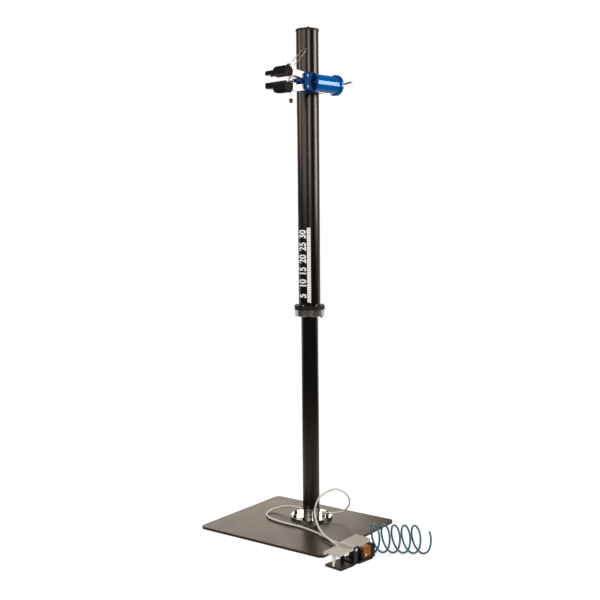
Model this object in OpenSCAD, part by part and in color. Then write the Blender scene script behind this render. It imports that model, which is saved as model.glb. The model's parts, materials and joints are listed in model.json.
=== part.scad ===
// Pneumatic bicycle repair stand, fully raised, in millimetres.
// The origin is where the column axis meets the floor. +X runs along the wide side of the plate,
// +Y runs to its rear edge and +Z is up. The clamp jaws reach out to -Y.

/* [Floor plate] */
// Width of the floor plate
plate_w = 610; // [450:5:800]
// Depth of the floor plate
plate_d = 520; // [420:5:700]
// Thickness of the floor plate
plate_t = 10; // [8:1:16]
// Corner radius of the floor plate
plate_corner_r = 22; // [8:1:60]
// Distance from the column axis to the rear edge of the plate
plate_rear = 165; // [120:5:240]

/* [Foot] */
// Diameter of the polished foot flange
flange_d = 175; // [160:1:220]
// Thickness of the foot flange
flange_t = 10; // [9:0.5:16]
// Height of the polished hub above the flange
hub_h = 33; // [30:1:60]
// How far the hub is smaller than the fixed tube that stands on it
hub_step = 3; // [1:0.5:5]
// Length of the spigot that the fixed tube slides over
spigot_l = 42; // [30:1:80]
// Number of cap screws round the flange
flange_screws_n = 8; // [4:1:10]
// Thread diameter of the flange screws
flange_screw_d = 8; // [5:1:10]
// Number of grub screws that hold the fixed tube
tube_screws_n = 3; // [2:1:6]
// Diameter of the grub screws
tube_screw_d = 6; // [4:1:8]

/* [Fixed tube and cylinder] */
// Outer diameter of the fixed tube
lower_tube_d = 70; // [66:1:74]
// Wall of the fixed tube
lower_tube_wall = 4; // [3:0.5:5]
// Length of the fixed tube
lower_tube_l = 1097; // [1040:1:1200]
// Outer diameter of the cylinder barrel inside the fixed tube
barrel_d = 55; // [50:1:56]
// Wall of the cylinder barrel
barrel_wall = 2.5; // [2:0.5:4]
// Diameter of the piston rod
rod_d = 20; // [16:1:24]
// Length of the piston
piston_l = 40; // [30:1:60]
// Length of the gland that closes the cylinder and the fixed tube
gland_l = 100; // [80:1:140]

/* [Lifting column] */
// Height of the column's lower end above the floor when it is raised
raised_h = 859; // [845:1:900]
// Outer diameter of the lifting tube
upper_tube_d = 90; // [88:1:96]
// Wall of the lifting tube
upper_tube_wall = 5; // [4:0.5:6]
// Length of the lifting tube
upper_tube_l = 1111; // [1050:1:1200]
// Diameter of the black collar under the lifting tube
collar_d = 125; // [120:1:140]
// Thickness of the black collar
collar_t = 18; // [14:1:26]
// Diameter of the polished bearing ring under the collar
ring_d = 122; // [116:1:130]
// Thickness of the polished bearing ring
ring_t = 26; // [20:1:40]
// Number of screws through the collar
collar_screws_n = 6; // [3:1:8]
// Thread diameter of the collar screws
collar_screw_d = 5; // [4:1:6]
// How far the top cap stands over the lifting tube
cap_lip = 2; // [1:0.5:5]
// Thickness of the top cap above the tube
cap_t = 8; // [6:1:16]
// Diameter of the stud on top of the column
stud_d = 12; // [10:1:16]

/* [Clamp head] */
// Drop from the top of the lifting tube to the head's axis
head_drop = 216; // [150:1:400]
// Distance between the column axis and the head's axis
head_offset = 84; // [82:0.5:95]
// Turn of the head about the column, in degrees
head_turn = -8.5; // [-20:0.5:20]
// Diameter of the blue head body
head_d = 70; // [64:1:72]
// Length of the blue head body without its front hub
head_l = 146; // [120:1:180]
// Diameter of the flanges at both ends of the head
head_flange_d = 83; // [80:1:90]
// Thickness of the flanges at both ends of the head
head_flange_t = 12; // [8:1:18]
// Diameter of the shaft that turns inside the head
head_shaft_d = 30; // [24:1:36]
// Length of the rear lock lever from the head's axis to its ball
lock_lever_l = 78; // [60:1:110]
// Diameter of the ball on the lock lever
lever_ball_d = 11; // [8:1:16]

/* [Arms and jaws] */
// Distance from the column axis to the pivots of the arms
pivot_reach = 112; // [106:1:118]
// Distance of each arm pivot from the head's axis
pivot_offset = 21; // [20:0.5:23]
// Distance from the column axis to the clamping spindle
spindle_reach = 178; // [172:1:184]
// Free distance from the spring to the back of the jaws
jaw_clear = 15.5; // [10:0.5:30]
// Width of the arms
arm_w = 30; // [24:1:34]
// Diameter of the arms' rounded pivot ends
arm_end_d = 26; // [22:1:28]
// Diameter of the pivot pins
pivot_d = 8; // [8:1:12]
// Open gap between the two pads
jaw_gap = 20; // [16:1:26]
// Length of the rubber pads along the clamped tube
pad_l = 82; // [70:1:120]
// Length of the nose by which each jaw is longer than its pad, at the far end
jaw_nose_l = 28; // [16:1:40]
// Depth of the jaws across the clamped tube
jaw_d = 42; // [40:1:52]
// Thickness of the rubber pads
pad_t = 8; // [7:0.5:11]
// Thickness of the jaw bar behind the pad
jaw_bar_t = 16; // [12:1:20]
// Diameter of the tube that the open pads fit
clamped_d = 33; // [30:1:38]
// Diameter of the clamping spindle
spindle_d = 8; // [6:1:9]
// Length of the wire lever
bail_l = 112; // [90:1:130]
// Width of the wire lever
bail_w = 32; // [28:1:40]
// Diameter of the lever's wire
bail_wire_d = 3; // [3:0.5:5]
// Diameter of the adjusting knob
knob_d = 15; // [12:1:20]
// Height of the adjusting knob
knob_h = 17; // [14:1:26]
// Outer diameter of the spring between the arms at its middle
spring_d = 25; // [18:1:27]
// Diameter of the spring's wire
spring_wire_d = 2.4; // [1.6:0.2:3]

/* [Foot valve] */
// Gap from the plate's side edge to the middle of the foot valve
pedal_gap = 103; // [90:1:160]
// Distance from the plate's front edge back to the middle of the foot valve
pedal_back = 33; // [0:1:120]
// Turn of the foot valve on the floor, in degrees
pedal_turn = -8; // [-20:1:10]
// Width of the foot valve's base
pedal_w = 78; // [72:1:90]
// Thickness of the foot valve's base
pedal_t = 8; // [6:1:10]
// Length of the base in front of the middle
pedal_front_l = 95; // [90:1:110]
// Length of the base behind the middle
pedal_rear_l = 84; // [80:1:96]
// Height of the treadle's pin above the floor
pedal_pin_h = 57; // [54:1:62]
// Diameter of the treadle's pin
pedal_pin_d = 8; // [6:1:10]
// Slope of the treadle at rest, in degrees
treadle_slope = 4.5; // [2:0.5:6]
// Thickness of the treadle's deck
treadle_t = 4; // [3:0.5:5]
// Number of ribs on the treadle's front deck
treadle_ribs_n = 9; // [5:1:13]
// Width of the brass valve body
valve_w = 60; // [50:1:64]
// Length of the brass valve body
valve_l = 44; // [40:1:48]
// Height of the brass valve body
valve_h = 42; // [38:1:44]

/* [Air lines] */
// Outer diameter of the two air tubes
air_tube_d = 8; // [6:1:10]
// Outer diameter of the coiled supply hose
hose_d = 8; // [5:0.5:10]
// Radius of the supply hose's coil, to the middle of the hose
coil_r = 51; // [40:1:70]
// Step from one turn of the coil to the next
coil_pitch = 38; // [30:1:50]

/* [Hidden] */
$fn = 48;

// Shared clearances and small sizes
over = 1;
run_fit = 0.05;
gap = 0.3;
edge = 1;
wide_edge = 2;
screw_play = 0.2;

// Shares of a cap screw's thread: head width, head height, socket width and socket depth
screw_head_share = 1.6;
screw_socket_share = 0.8;
socket_depth_share = 0.55;
nut_share = 1.7;

// Foot
hub_d = lower_tube_d - hub_step;
flange_z = plate_t;
hub_z = flange_z + flange_t;
tube_z = hub_z + hub_h;
lower_tube_r = lower_tube_d / 2;
lower_bore_r = lower_tube_r - lower_tube_wall;
barrel_r = barrel_d / 2;
barrel_bore_r = barrel_r - barrel_wall;
spigot_z = tube_z + spigot_l;
spigot_step = 15;
boss_l = 12;
hub_fillet = 2;
flange_screw_r = (flange_d / 2 + hub_d / 2) / 2 + flange_screw_d * 1.5;
flange_screw_turn = 191;
tube_screw_turn = 283;
tube_screw_rise = 9;
tube_screw_grip = 2;
port_d = 5;
supply_bore_d = 10;
annulus_port_r = barrel_r + port_d / 8;

left_fitting_turn = 194;
right_fitting_turn = 15;
right_fitting_r = 54;
fitting_d = 13;
fitting_hex_d = 15;
fitting_hex_t = 5;
left_fitting_z = 45;
left_fitting_reach = 50;
right_fitting_z = 35;
right_outlet_turn = 20;
right_outlet_l = 14;
release_d = 11;
release_l = 3;

// Cylinder and lifting rod
lower_tube_top = tube_z + lower_tube_l;
gland_flange_t = 8;
gland_lip = 1;
gland_z = lower_tube_top + gland_flange_t - gland_l;
gland_nose_l = 12;
bush_wall = 3;
bush_l = 50;
rod_r = rod_d / 2;
top_play = 10;
piston_z = gland_z - gland_nose_l - piston_l - top_play;
seal_w = 4;
seal_depth = 3;

// Lifting column
upper_tube_r = upper_tube_d / 2;
upper_bore_r = upper_tube_r - upper_tube_wall;
ring_z = raised_h;
collar_z = ring_z + ring_t;
seat_t = 8;
upper_tube_z = collar_z + seat_t;
upper_tube_top = upper_tube_z + upper_tube_l;
collar_bore_r = lower_tube_r + lower_tube_wall / 2;
collar_screw_r = (collar_d / 2 + upper_tube_r) / 2;
collar_screw_turn = -84;
guide_lip_t = 4;
guide_band_l = 35;
guide_band_drop = 6;
cap_r = upper_tube_r + cap_lip;
cap_plug_l = 20;
cap_plug_wall = 9;
cap_screw_d = 6;
cap_screws_n = 6;
cap_screw_turn = 1;
cap_screw_drop = 8;
rod_shoulder_d = 36;
rod_shoulder_t = 10;
washer_t = 4;
rod_top = upper_tube_top - washer_t;
nut_t = 10;
stud_rise = 23;
lock_screw_d = 6;
lock_screw_turn = 10;

// Clamp head, in the head's own frame: x across, y along its axis to the rear, z up
head_z = upper_tube_top - head_drop;
head_r = head_d / 2;
head_front = -78;
head_body_y = head_front + head_flange_t + gap;
head_rear = head_body_y + head_l;
head_wall = 6;
head_bush_wall = 8;
head_bore_r = head_shaft_d / 2 + head_bush_wall;
head_bush_l = 30;
saddle_h = 62;
saddle_l = 88;
saddle_wing = 22;
saddle_bolt_d = 8;
saddle_bolt_pitch = 52;
saddle_bolt_grip = 7.5;
spot_depth = 1;
hub_socket_l = 8;
saddle_seat_r = head_r - head_wall + spot_depth;
lock_hub_d = 26;
lock_hub_l = 16;
lock_lever_d = 7;
lock_lever_tilt = 6;
lock_stud_d = 16;
hub_screw_d = 6;
hub_screws_n = 4;
hub_screw_r = 33;
cheek_t = 8;
cheek_r = arm_end_d / 2;
arm_play = 2;
tongue_h = 2 * (pivot_offset - arm_end_d / 2 - arm_play);
tongue_gap = 5;
tongue_y = spindle_reach - spring_d / 2 - tongue_gap;

// Arms, jaws and spindle
arm_t = 22;
arm_in_pivot = pivot_offset - arm_end_d / 2;
arm_in_spindle = 18;
jaw_face = jaw_gap / 2 + pad_t;
jaw_back = jaw_face + jaw_bar_t;
jaw_seat_depth = 5;
arm_in_jaw = jaw_back - jaw_seat_depth;
arm_tongue_t = 13;
arm_slot_l = 17;
jaw_back_y = spindle_reach + spring_d / 2 + jaw_clear;
jaw_reach = jaw_back_y + jaw_d / 2;
jaw_hump_l = 67;
jaw_hump_h = 13;
lower_hump_h = 20;
jaw_hump_shoulder_r = 18;
jaw_hump_front_r = 8;
jaw_hump_back_r = 20;
jaw_hump_end_r = 5;
jaw_lip = 4;
jaw_groove_step = 14;
jaw_groove_w = 4;
jaw_groove_depth = 2;
jaw_tip_r = 8;
jaw_nose_drop = 1;
jaw_nose_relief = 0.9;
jaw_bolt_d = 5;
jaw_bolt_pitch = 22;
pad_inset = 5;
spindle_r = spindle_d / 2;
spindle_ring_d = 14;
spindle_ring_t = 3;
spindle_ring_play = 0.6;
spindle_eye_d = 12;
bail_boss_d = 10;
cam_side_play = 0.6;
cam_d = 22;
cam_throw = 3.6;
cam_w = 24;
cam_pin_d = 6;
cam_seat_t = 2;
bail_angle = 45;
arm_top = arm_in_spindle + arm_t;
cam_pin_z = arm_top + cam_seat_t + cam_d / 2 - cam_throw + gap;
knob_gap = 30;
knob_edge = 4.5;
knob_z = -arm_top - knob_gap - knob_h;
spring_turns = 4.5;
spring_end_r = spindle_r + 2 * spring_wire_d;
spring_z = arm_in_spindle - spring_wire_d / 2 - gap;

// Foot valve, in its own frame: x across, y to its rear, z up
pedal_x = plate_w / 2 + pedal_gap;
pedal_y = plate_rear - plate_d + pedal_back;
pedal_corner_r = 3;
notch_d = 8;
notch_l = 24;
bracket_t = 3.5;
bracket_w = 20;
pedal_pin_y = -8;
pin_head_t = 3;
pin_head_share = 1.5;
lug_t = 4;
lug_r = 7;
deck_rise = 3;
deck_step = 9;
front_deck_l = 78;
rear_deck_l = 82;
deck_join = 17;
rear_deck_inset = 4;
front_deck_inset = 1;
skirt_t = 3;
skirt_drop = 8;
skirt_start = 16;
rib_h = 0.8;
lip_drop = 7;
valve_y = 40;
valve_z = pedal_t;
silencer_y = 50;
silencer_z = 21;
valve_mid_z = valve_z + valve_h / 2;
valve_bolt_inset = 5.5;
valve_bolt_x = valve_w / 2 - valve_bolt_inset;
valve_bolt_z = valve_h / 2 - valve_bolt_inset;
exhaust_x = 8;
spool_under = 8;
rocker_gap = 0.6;
valve_cap_t = 12;
valve_rear_cap_t = 19;
valve_cap_over = 2;
valve_bolt_d = 5;
valve_bolt_short = 2;
spool_d = 8;
spool_y = 47;
outlet_front_y = 50;
outlet_rear_y = 70;
outlet_z = 28;
outlet_l = 10;
outlet_d = 12;
silencer_d = 9;
silencer_side_l = 4;
silencer_top_l = 9;
silencer_tip_share = 0.8;
post_y = -88;
post_d = 13;
post_h = 36;
plunger_d = 7;
plunger_head_t = 3;
cap_bottom = 2.5;

// Coil of the supply hose: the line that it lies along, the way its turns face and how much is wound
coil_from_valve = [7.7, 126.5];
coil_start = [pedal_x, pedal_y] + coil_from_valve;
coil_run_turn = 30.6;
coil_face_turn = 59.8;
coil_from = 0.12;
coil_to = 5.37;
coil_rings_per_turn = 24;
coil_sides = 6;
tube_sides = 8;

// Route of the left air tube, from the hub round the plate to the rear outlet of the valve
left_route = [[-75, -15, 44], [-98, -9, 41], [-132, -4, 34], [-160, -13, 26], [-184, -38, 18],
    [-173, -82, 14.2], [-130, -119, 14.2], [-62, -136, 14.2], [6, -139, 14.2], [56, -141, 14.2],
    [133, -159, 14.2], [207, -189, 14.2], [264, -211, 15], [312, -230, 19]];
// Route of the right air tube, up in a standing loop, past the front of the hub and over the left tube
right_route = [[93, 31, 35], [120, 49, 42], [142, 59, 60], [153, 60, 87], [149, 51, 115],
    [134, 32, 136], [114, 10, 146], [93, -13, 138], [73, -36, 120], [62, -50, 91], [61, -61, 58],
    [85, -86, 36], [126, -127, 26], [186, -181, 24], [237, -213, 21], [280, -236, 18], [318, -252, 20]];

// Plain helpers
function unit(v) = v / norm(v);
function spin(v, a) = [v.x * cos(a) - v.y * sin(a), v.x * sin(a) + v.y * cos(a), v.z];
function pedal_to_floor(p) = spin(p, pedal_turn) + [pedal_x, pedal_y, 0];

module at_head() {
    translate([0, 0, head_z]) rotate(head_turn) translate([head_offset, 0, 0]) children();
}

module at_pedal() {
    translate([pedal_x, pedal_y, 0]) rotate(pedal_turn) children();
}

module at_treadle() {
    at_pedal() translate([0, pedal_pin_y, pedal_pin_h]) rotate([treadle_slope, 0, 0]) children();
}

module round_rect(w, d, r) {
    square([w - 2 * r, d], center = true);
    square([w, d - 2 * r], center = true);
    for (x = [-1, 1], y = [-1, 1]) translate([x * (w / 2 - r), y * (d / 2 - r)]) circle(r);
}

module round_ring(count, r, start = 0) {
    for (i = [0:count - 1]) rotate(start + i * 360 / count) translate([r, 0, 0]) children();
}

module tube(r_out, r_in, h) {
    difference() {
        cylinder(r = r_out, h = h);
        translate([0, 0, -over]) cylinder(r = r_in, h = h + 2 * over);
    }
}

// A bar along x that stands on its own middle
module along_x(d, l) {
    rotate([0, 90, 0]) cylinder(d = d, h = l, center = true);
}

// A bar along y from y = 0
module along_y(d, l) {
    rotate([-90, 0, 0]) cylinder(d = d, h = l);
}

// A socket cap screw: its seat is at z = 0, its thread hangs below
module cap_screw(d, l) {
    head_d = d * screw_head_share;
    socket_d = d * screw_socket_share;
    difference() {
        union() {
            cylinder(d = head_d, h = d - edge / 2);
            cylinder(d = head_d - edge, h = d);
            translate([0, 0, -l]) cylinder(d = d, h = l + edge / 2);
        }
        translate([0, 0, d * (1 - socket_depth_share)]) cylinder(d = socket_d, h = d, $fn = 6);
    }
}

// One unbroken tube swept along points. Its frame is carried from point to point without twist.
function directions(p) = [for (i = [0:len(p) - 1])
    unit(p[min(i + 1, len(p) - 1)] - p[max(i - 1, 0)])];
function carried(t, i, last, done) = i >= len(t) ? done :
    let (side = unit(last - t[i] * (last * t[i]))) carried(t, i + 1, side, concat(done, [side]));
function sides_of(t, first) = carried(t, 0, first, []);

module swept_tube(p, d, n, first) {
    t = directions(p);
    s = sides_of(t, first);
    rings = len(p);
    points = [for (i = [0:rings - 1], k = [0:n - 1])
        p[i] + d / 2 * (cos(360 * k / n) * s[i] + sin(360 * k / n) * cross(t[i], s[i]))];
    walls = [for (i = [0:rings - 2], k = [0:n - 1], half = [0, 1])
        let (a = i * n + k, b = i * n + (k + 1) % n, c = a + n, e = b + n)
        half == 0 ? [a, c, b] : [b, c, e]];
    start = [for (k = [1:n - 2]) [0, k, k + 1]];
    end_from = (rings - 1) * n;
    end = [for (k = [1:n - 2]) [end_from, end_from + k + 1, end_from + k]];
    polyhedron(points, concat(walls, start, end));
}

// Points on a smooth curve through a route, with a few steps between its own points
function curve_at(a, b, c, e, u) = 0.5 * (2 * b + (c - a) * u + (2 * a - 5 * b + 4 * c - e) * u * u
    + (3 * b - a - 3 * c + e) * u * u * u);
function smooth(r, steps) = concat([for (i = [0:len(r) - 2], k = [0:steps - 1])
    curve_at(r[max(i - 1, 0)], r[i], r[i + 1], r[min(i + 2, len(r) - 1)], k / steps)], [r[len(r) - 1]]);

// Smallest free gap between turns of one wound tube, over points that are far apart along it
function own_gap(p, d, apart) = min([for (i = [0:len(p) - 1], k = [i + apart:1:len(p) - 1])
    norm(p[i] - p[k])]) - d;

// Floor plate
module base_plate() {
    plate_y = plate_rear - plate_d / 2;
    color([0.09, 0.09, 0.09]) difference() {
        translate([0, plate_y, 0]) linear_extrude(plate_t) round_rect(plate_w, plate_d, plate_corner_r);
        round_ring(flange_screws_n, flange_screw_r, flange_screw_turn)
            translate([0, 0, -over]) cylinder(d = flange_screw_d + 2 * screw_play, h = plate_t + 2 * over);
    }
}

// Polished foot: flange, hub, the spigot for the fixed tube and a boss for the cylinder barrel
module base_flange() {
    hub_r = hub_d / 2;
    rim = flange_d / 2;
    step_z = spigot_z - spigot_step;
    bore_end = spigot_z + boss_l;
    color([0.82, 0.82, 0.84]) difference() {
        rotate_extrude($fn = 96) polygon([[0, flange_z], [rim, flange_z], [rim, hub_z - edge],
            [rim - edge, hub_z], [hub_r + hub_fillet, hub_z], [hub_r, hub_z + hub_fillet], [hub_r, tube_z],
            [lower_bore_r - run_fit, tube_z], [lower_bore_r - run_fit, step_z], [barrel_r, step_z],
            [barrel_r, spigot_z], [barrel_bore_r - run_fit, spigot_z],
            [barrel_bore_r - run_fit, bore_end - edge], [barrel_bore_r - run_fit - edge, bore_end],
            [0, bore_end]]);
        round_ring(flange_screws_n, flange_screw_r, flange_screw_turn)
            translate([0, 0, flange_z - over])
            cylinder(d = flange_screw_d + 2 * screw_play, h = flange_t + 2 * over);
        round_ring(tube_screws_n, lower_bore_r - tube_screw_grip, tube_screw_turn)
            translate([0, 0, tube_z + tube_screw_rise])
            rotate([0, 90, 0]) cylinder(d = tube_screw_d + screw_play, h = tube_screw_grip + over);
        // Air way from the left fitting to the middle, and up under the piston
        translate([0, 0, left_fitting_z]) cylinder(d = supply_bore_d, h = bore_end - left_fitting_z + over);
        rotate(left_fitting_turn) translate([0, 0, left_fitting_z])
            rotate([0, 90, 0]) cylinder(d = port_d, h = hub_r + over);
        // Air way from the right fitting along the flange, and up outside the barrel
        rotate(right_fitting_turn) translate([0, 0, flange_z + flange_t / 2]) rotate([0, 90, 0])
            cylinder(d = port_d, h = right_fitting_r);
        rotate(right_fitting_turn) translate([right_fitting_r, 0, flange_z + flange_t / 2])
            cylinder(d = port_d, h = flange_t);
        rotate(right_fitting_turn) translate([annulus_port_r, 0, flange_z + flange_t / 2])
            cylinder(d = port_d, h = spigot_z - flange_z);
    }
}

module flange_screws() {
    color([0.12, 0.12, 0.12]) round_ring(flange_screws_n, flange_screw_r, flange_screw_turn)
        translate([0, 0, hub_z]) cap_screw(flange_screw_d, flange_t + plate_t - edge);
}

module lower_tube() {
    color([0.07, 0.07, 0.07]) difference() {
        translate([0, 0, tube_z]) tube(lower_tube_r, lower_bore_r, lower_tube_l, $fn = 96);
        round_ring(tube_screws_n, lower_bore_r - over, tube_screw_turn)
            translate([0, 0, tube_z + tube_screw_rise])
            rotate([0, 90, 0]) cylinder(d = tube_screw_d + screw_play, h = lower_tube_wall + 2 * over);
    }
}

module tube_set_screws() {
    l = lower_tube_wall + tube_screw_grip - screw_play;
    screw_r = lower_bore_r - tube_screw_grip + screw_play / 2;
    color([0.7, 0.7, 0.72]) round_ring(tube_screws_n, screw_r, tube_screw_turn)
        translate([0, 0, tube_z + tube_screw_rise]) rotate([0, 90, 0]) difference() {
            cylinder(d = tube_screw_d, h = l);
            translate([0, 0, l / 2]) cylinder(d = tube_screw_d / 2, h = l, $fn = 6);
        }
}

module cylinder_barrel() {
    color([0.75, 0.76, 0.78]) translate([0, 0, spigot_z])
        tube(barrel_r, barrel_bore_r, gland_z - spigot_z, $fn = 72);
}

// Gland: closes the barrel below and the fixed tube above, and guides the rod in a bush
module cylinder_gland() {
    gland_r = lower_bore_r - run_fit;
    nose_r = barrel_bore_r - run_fit;
    top = lower_tube_top + gland_flange_t;
    color([0.72, 0.73, 0.75]) rotate_extrude($fn = 72) polygon([[rod_r + gap, gland_z - gland_nose_l],
        [nose_r - edge, gland_z - gland_nose_l], [nose_r, gland_z - gland_nose_l + edge], [nose_r, gland_z],
        [gland_r, gland_z], [gland_r, lower_tube_top], [lower_tube_r + gland_lip, lower_tube_top],
        [lower_tube_r + gland_lip, top - edge], [lower_tube_r, top], [rod_r + bush_wall, top],
        [rod_r + bush_wall, top - bush_l], [rod_r + gap, top - bush_l]]);
}

module rod_bush() {
    top = lower_tube_top + gland_flange_t;
    color([0.7, 0.5, 0.2]) translate([0, 0, top - bush_l])
        tube(rod_r + bush_wall - run_fit / 2, rod_r + run_fit, bush_l);
}

// Guide band round the top of the fixed tube, running in the lifting tube
module upper_guide_bush() {
    color([0.9, 0.9, 0.86]) translate([0, 0, lower_tube_top - guide_band_drop - guide_band_l])
        tube(upper_bore_r - run_fit, lower_tube_r + run_fit / 2, guide_band_l, $fn = 96);
}

// Push-in fittings. Both are made of a body, a hexagon foot and a release ring.
module left_air_fitting() {
    hub_r = hub_d / 2;
    reach = left_fitting_reach;
    color([0.78, 0.78, 0.8]) translate([0, 0, left_fitting_z])
    rotate(left_fitting_turn) rotate([0, 90, 0]) {
        translate([0, 0, hub_r + gap]) cylinder(d = fitting_hex_d, h = fitting_hex_t, $fn = 6);
        translate([0, 0, hub_r - port_d]) cylinder(d = port_d - screw_play, h = port_d + fitting_hex_t);
        translate([0, 0, hub_r]) cylinder(d = fitting_d, h = reach - hub_r - release_l);
        translate([0, 0, hub_r]) cylinder(d = release_d, h = reach - hub_r);
    }
}

module right_air_fitting() {
    foot = spin([right_fitting_r, 0, hub_z], right_fitting_turn);
    color([0.85, 0.85, 0.86]) {
        translate(foot) cylinder(d = fitting_hex_d, h = fitting_hex_t, $fn = 6);
        translate(foot + [0, 0, -port_d]) cylinder(d = port_d - screw_play, h = port_d + fitting_hex_t);
        translate(foot) cylinder(d = fitting_d, h = right_fitting_z - hub_z + fitting_d / 2);
        translate([foot.x, foot.y, right_fitting_z]) rotate([0, 90, right_outlet_turn]) {
            cylinder(d = fitting_d - edge, h = right_outlet_l - release_l);
            cylinder(d = release_d - edge, h = right_outlet_l);
        }
    }
}

// Piston with two seal grooves
module piston() {
    piston_r = barrel_bore_r - run_fit;
    color([0.75, 0.76, 0.78]) translate([0, 0, piston_z]) difference() {
        cylinder(r = piston_r, h = piston_l, $fn = 72);
        translate([0, 0, -over]) cylinder(r = rod_r + run_fit / 2, h = piston_l + 2 * over);
        for (z = [piston_l / 4, piston_l * 3 / 4])
            translate([0, 0, z - seal_w / 2])
                tube(piston_r + over, piston_r - seal_depth, seal_w, $fn = 72);
    }
}

module piston_seals() {
    piston_r = barrel_bore_r - run_fit;
    color([0.1, 0.1, 0.1]) for (z = [piston_l / 4, piston_l * 3 / 4])
        translate([0, 0, piston_z + z - seal_w / 2 + run_fit])
        tube(piston_r + run_fit / 2, piston_r - seal_depth + run_fit, seal_w - 2 * run_fit, $fn = 72);
}

// Piston rod with the shoulder that carries the column and the stud that goes through the top cap
module piston_rod() {
    shoulder_z = rod_top - rod_shoulder_t;
    color([0.8, 0.8, 0.82]) rotate_extrude() polygon([[0, piston_z - edge], [rod_r - edge, piston_z - edge],
        [rod_r, piston_z], [rod_r, shoulder_z], [rod_shoulder_d / 2, shoulder_z],
        [rod_shoulder_d / 2, rod_top], [stud_d / 2, rod_top],
        [stud_d / 2, upper_tube_top + cap_t + stud_rise - edge],
        [stud_d / 2 - edge, upper_tube_top + cap_t + stud_rise], [0, upper_tube_top + cap_t + stud_rise]]);
}

module thrust_washer() {
    color([0.7, 0.5, 0.2]) translate([0, 0, rod_top])
        tube(rod_shoulder_d / 2, stud_d / 2 + run_fit, washer_t - gap, $fn = 48);
}

module rod_nut() {
    nut_d = stud_d * nut_share;
    z = upper_tube_top + cap_t + gap;
    color([0.8, 0.8, 0.82]) {
        translate([0, 0, z]) tube(stud_d, stud_d / 2 + run_fit, edge);
        translate([0, 0, z + edge]) difference() {
            cylinder(d = nut_d, h = nut_t, $fn = 6);
            translate([0, 0, -over]) cylinder(d = stud_d + 2 * run_fit, h = nut_t + 2 * over);
        }
    }
}

// Lifting tube, with the holes for the cap's screws
module upper_tube() {
    color([0.07, 0.07, 0.07]) difference() {
        translate([0, 0, upper_tube_z]) tube(upper_tube_r, upper_bore_r, upper_tube_l, $fn = 96);
        round_ring(cap_screws_n, upper_bore_r - over, cap_screw_turn)
            translate([0, 0, upper_tube_top - cap_screw_drop])
            rotate([0, 90, 0]) cylinder(d = cap_screw_d + screw_play, h = upper_tube_wall + 2 * over);
    }
}

module top_cap() {
    plug_r = upper_bore_r - run_fit;
    plug_z = upper_tube_top - cap_plug_l;
    top = upper_tube_top + cap_t;
    color([0.1, 0.1, 0.1]) difference() {
        rotate_extrude($fn = 96) polygon([[stud_d / 2 + run_fit, upper_tube_top],
            [plug_r - cap_plug_wall, upper_tube_top], [plug_r - cap_plug_wall, plug_z], [plug_r, plug_z],
            [plug_r, upper_tube_top], [cap_r, upper_tube_top],
            [cap_r, top - wide_edge], [cap_r - wide_edge, top],
            [stud_d / 2 + run_fit, top]]);
        round_ring(cap_screws_n, plug_r - cap_plug_wall / 2, cap_screw_turn)
            translate([0, 0, upper_tube_top - cap_screw_drop])
            rotate([0, 90, 0]) cylinder(d = cap_screw_d + screw_play, h = cap_plug_wall);
    }
}

module cap_screws() {
    inner = upper_bore_r - cap_plug_wall / 2;
    l = upper_tube_r - inner - screw_play;
    color([0.2, 0.2, 0.2]) round_ring(cap_screws_n, inner, cap_screw_turn)
        translate([0, 0, upper_tube_top - cap_screw_drop]) rotate([0, 90, 0]) difference() {
            cylinder(d = cap_screw_d, h = l);
            translate([0, 0, l * (1 - socket_depth_share)]) cylinder(d = cap_screw_d / 2, h = l, $fn = 6);
        }
}

// Collar: the lifting tube stands in its recess, and screws tie it to the bearing ring
module collar() {
    r = collar_d / 2;
    top = collar_z + collar_t;
    color([0.08, 0.08, 0.08]) difference() {
        rotate_extrude($fn = 96) polygon([[collar_bore_r, collar_z], [r, collar_z], [r, top - edge],
            [r - edge, top], [upper_tube_r + run_fit, top], [upper_tube_r + run_fit, upper_tube_z],
            [collar_bore_r, upper_tube_z]]);
        round_ring(collar_screws_n, collar_screw_r, collar_screw_turn)
            translate([0, 0, collar_z - over])
            cylinder(d = collar_screw_d + screw_play, h = collar_t + 2 * over);
    }
}

module collar_screws() {
    color([0.75, 0.75, 0.77]) round_ring(collar_screws_n, collar_screw_r, collar_screw_turn)
        translate([0, 0, collar_z + collar_t]) cap_screw(collar_screw_d, collar_t + ring_t / 2 - edge);
}

// Polished ring that holds the guide bush
module bearing_ring() {
    r = ring_d / 2;
    bore = upper_bore_r + run_fit / 2;
    color([0.83, 0.83, 0.85]) difference() {
        rotate_extrude($fn = 96) polygon([[collar_bore_r, ring_z], [r - edge, ring_z], [r, ring_z + edge],
            [r, collar_z], [bore, collar_z], [bore, ring_z + guide_lip_t],
            [collar_bore_r, ring_z + guide_lip_t]]);
        round_ring(collar_screws_n, collar_screw_r, collar_screw_turn)
            translate([0, 0, collar_z - ring_t / 2]) cylinder(d = collar_screw_d + screw_play, h = ring_t);
        rotate(lock_screw_turn) translate([collar_screw_r, 0, ring_z - over])
            cylinder(d = lock_screw_d + screw_play, h = ring_t / 3 + over);
    }
}

module guide_bush() {
    color([0.9, 0.9, 0.86]) translate([0, 0, ring_z + guide_lip_t])
        tube(upper_bore_r, lower_tube_r + run_fit, ring_t - guide_lip_t, $fn = 96);
}

// Dark screw that hangs under the bearing ring
module lock_screw() {
    color([0.15, 0.15, 0.15]) rotate(lock_screw_turn) translate([collar_screw_r, 0, ring_z])
        mirror([0, 0, 1]) cap_screw(lock_screw_d, ring_t / 3 - edge);
}

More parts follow.
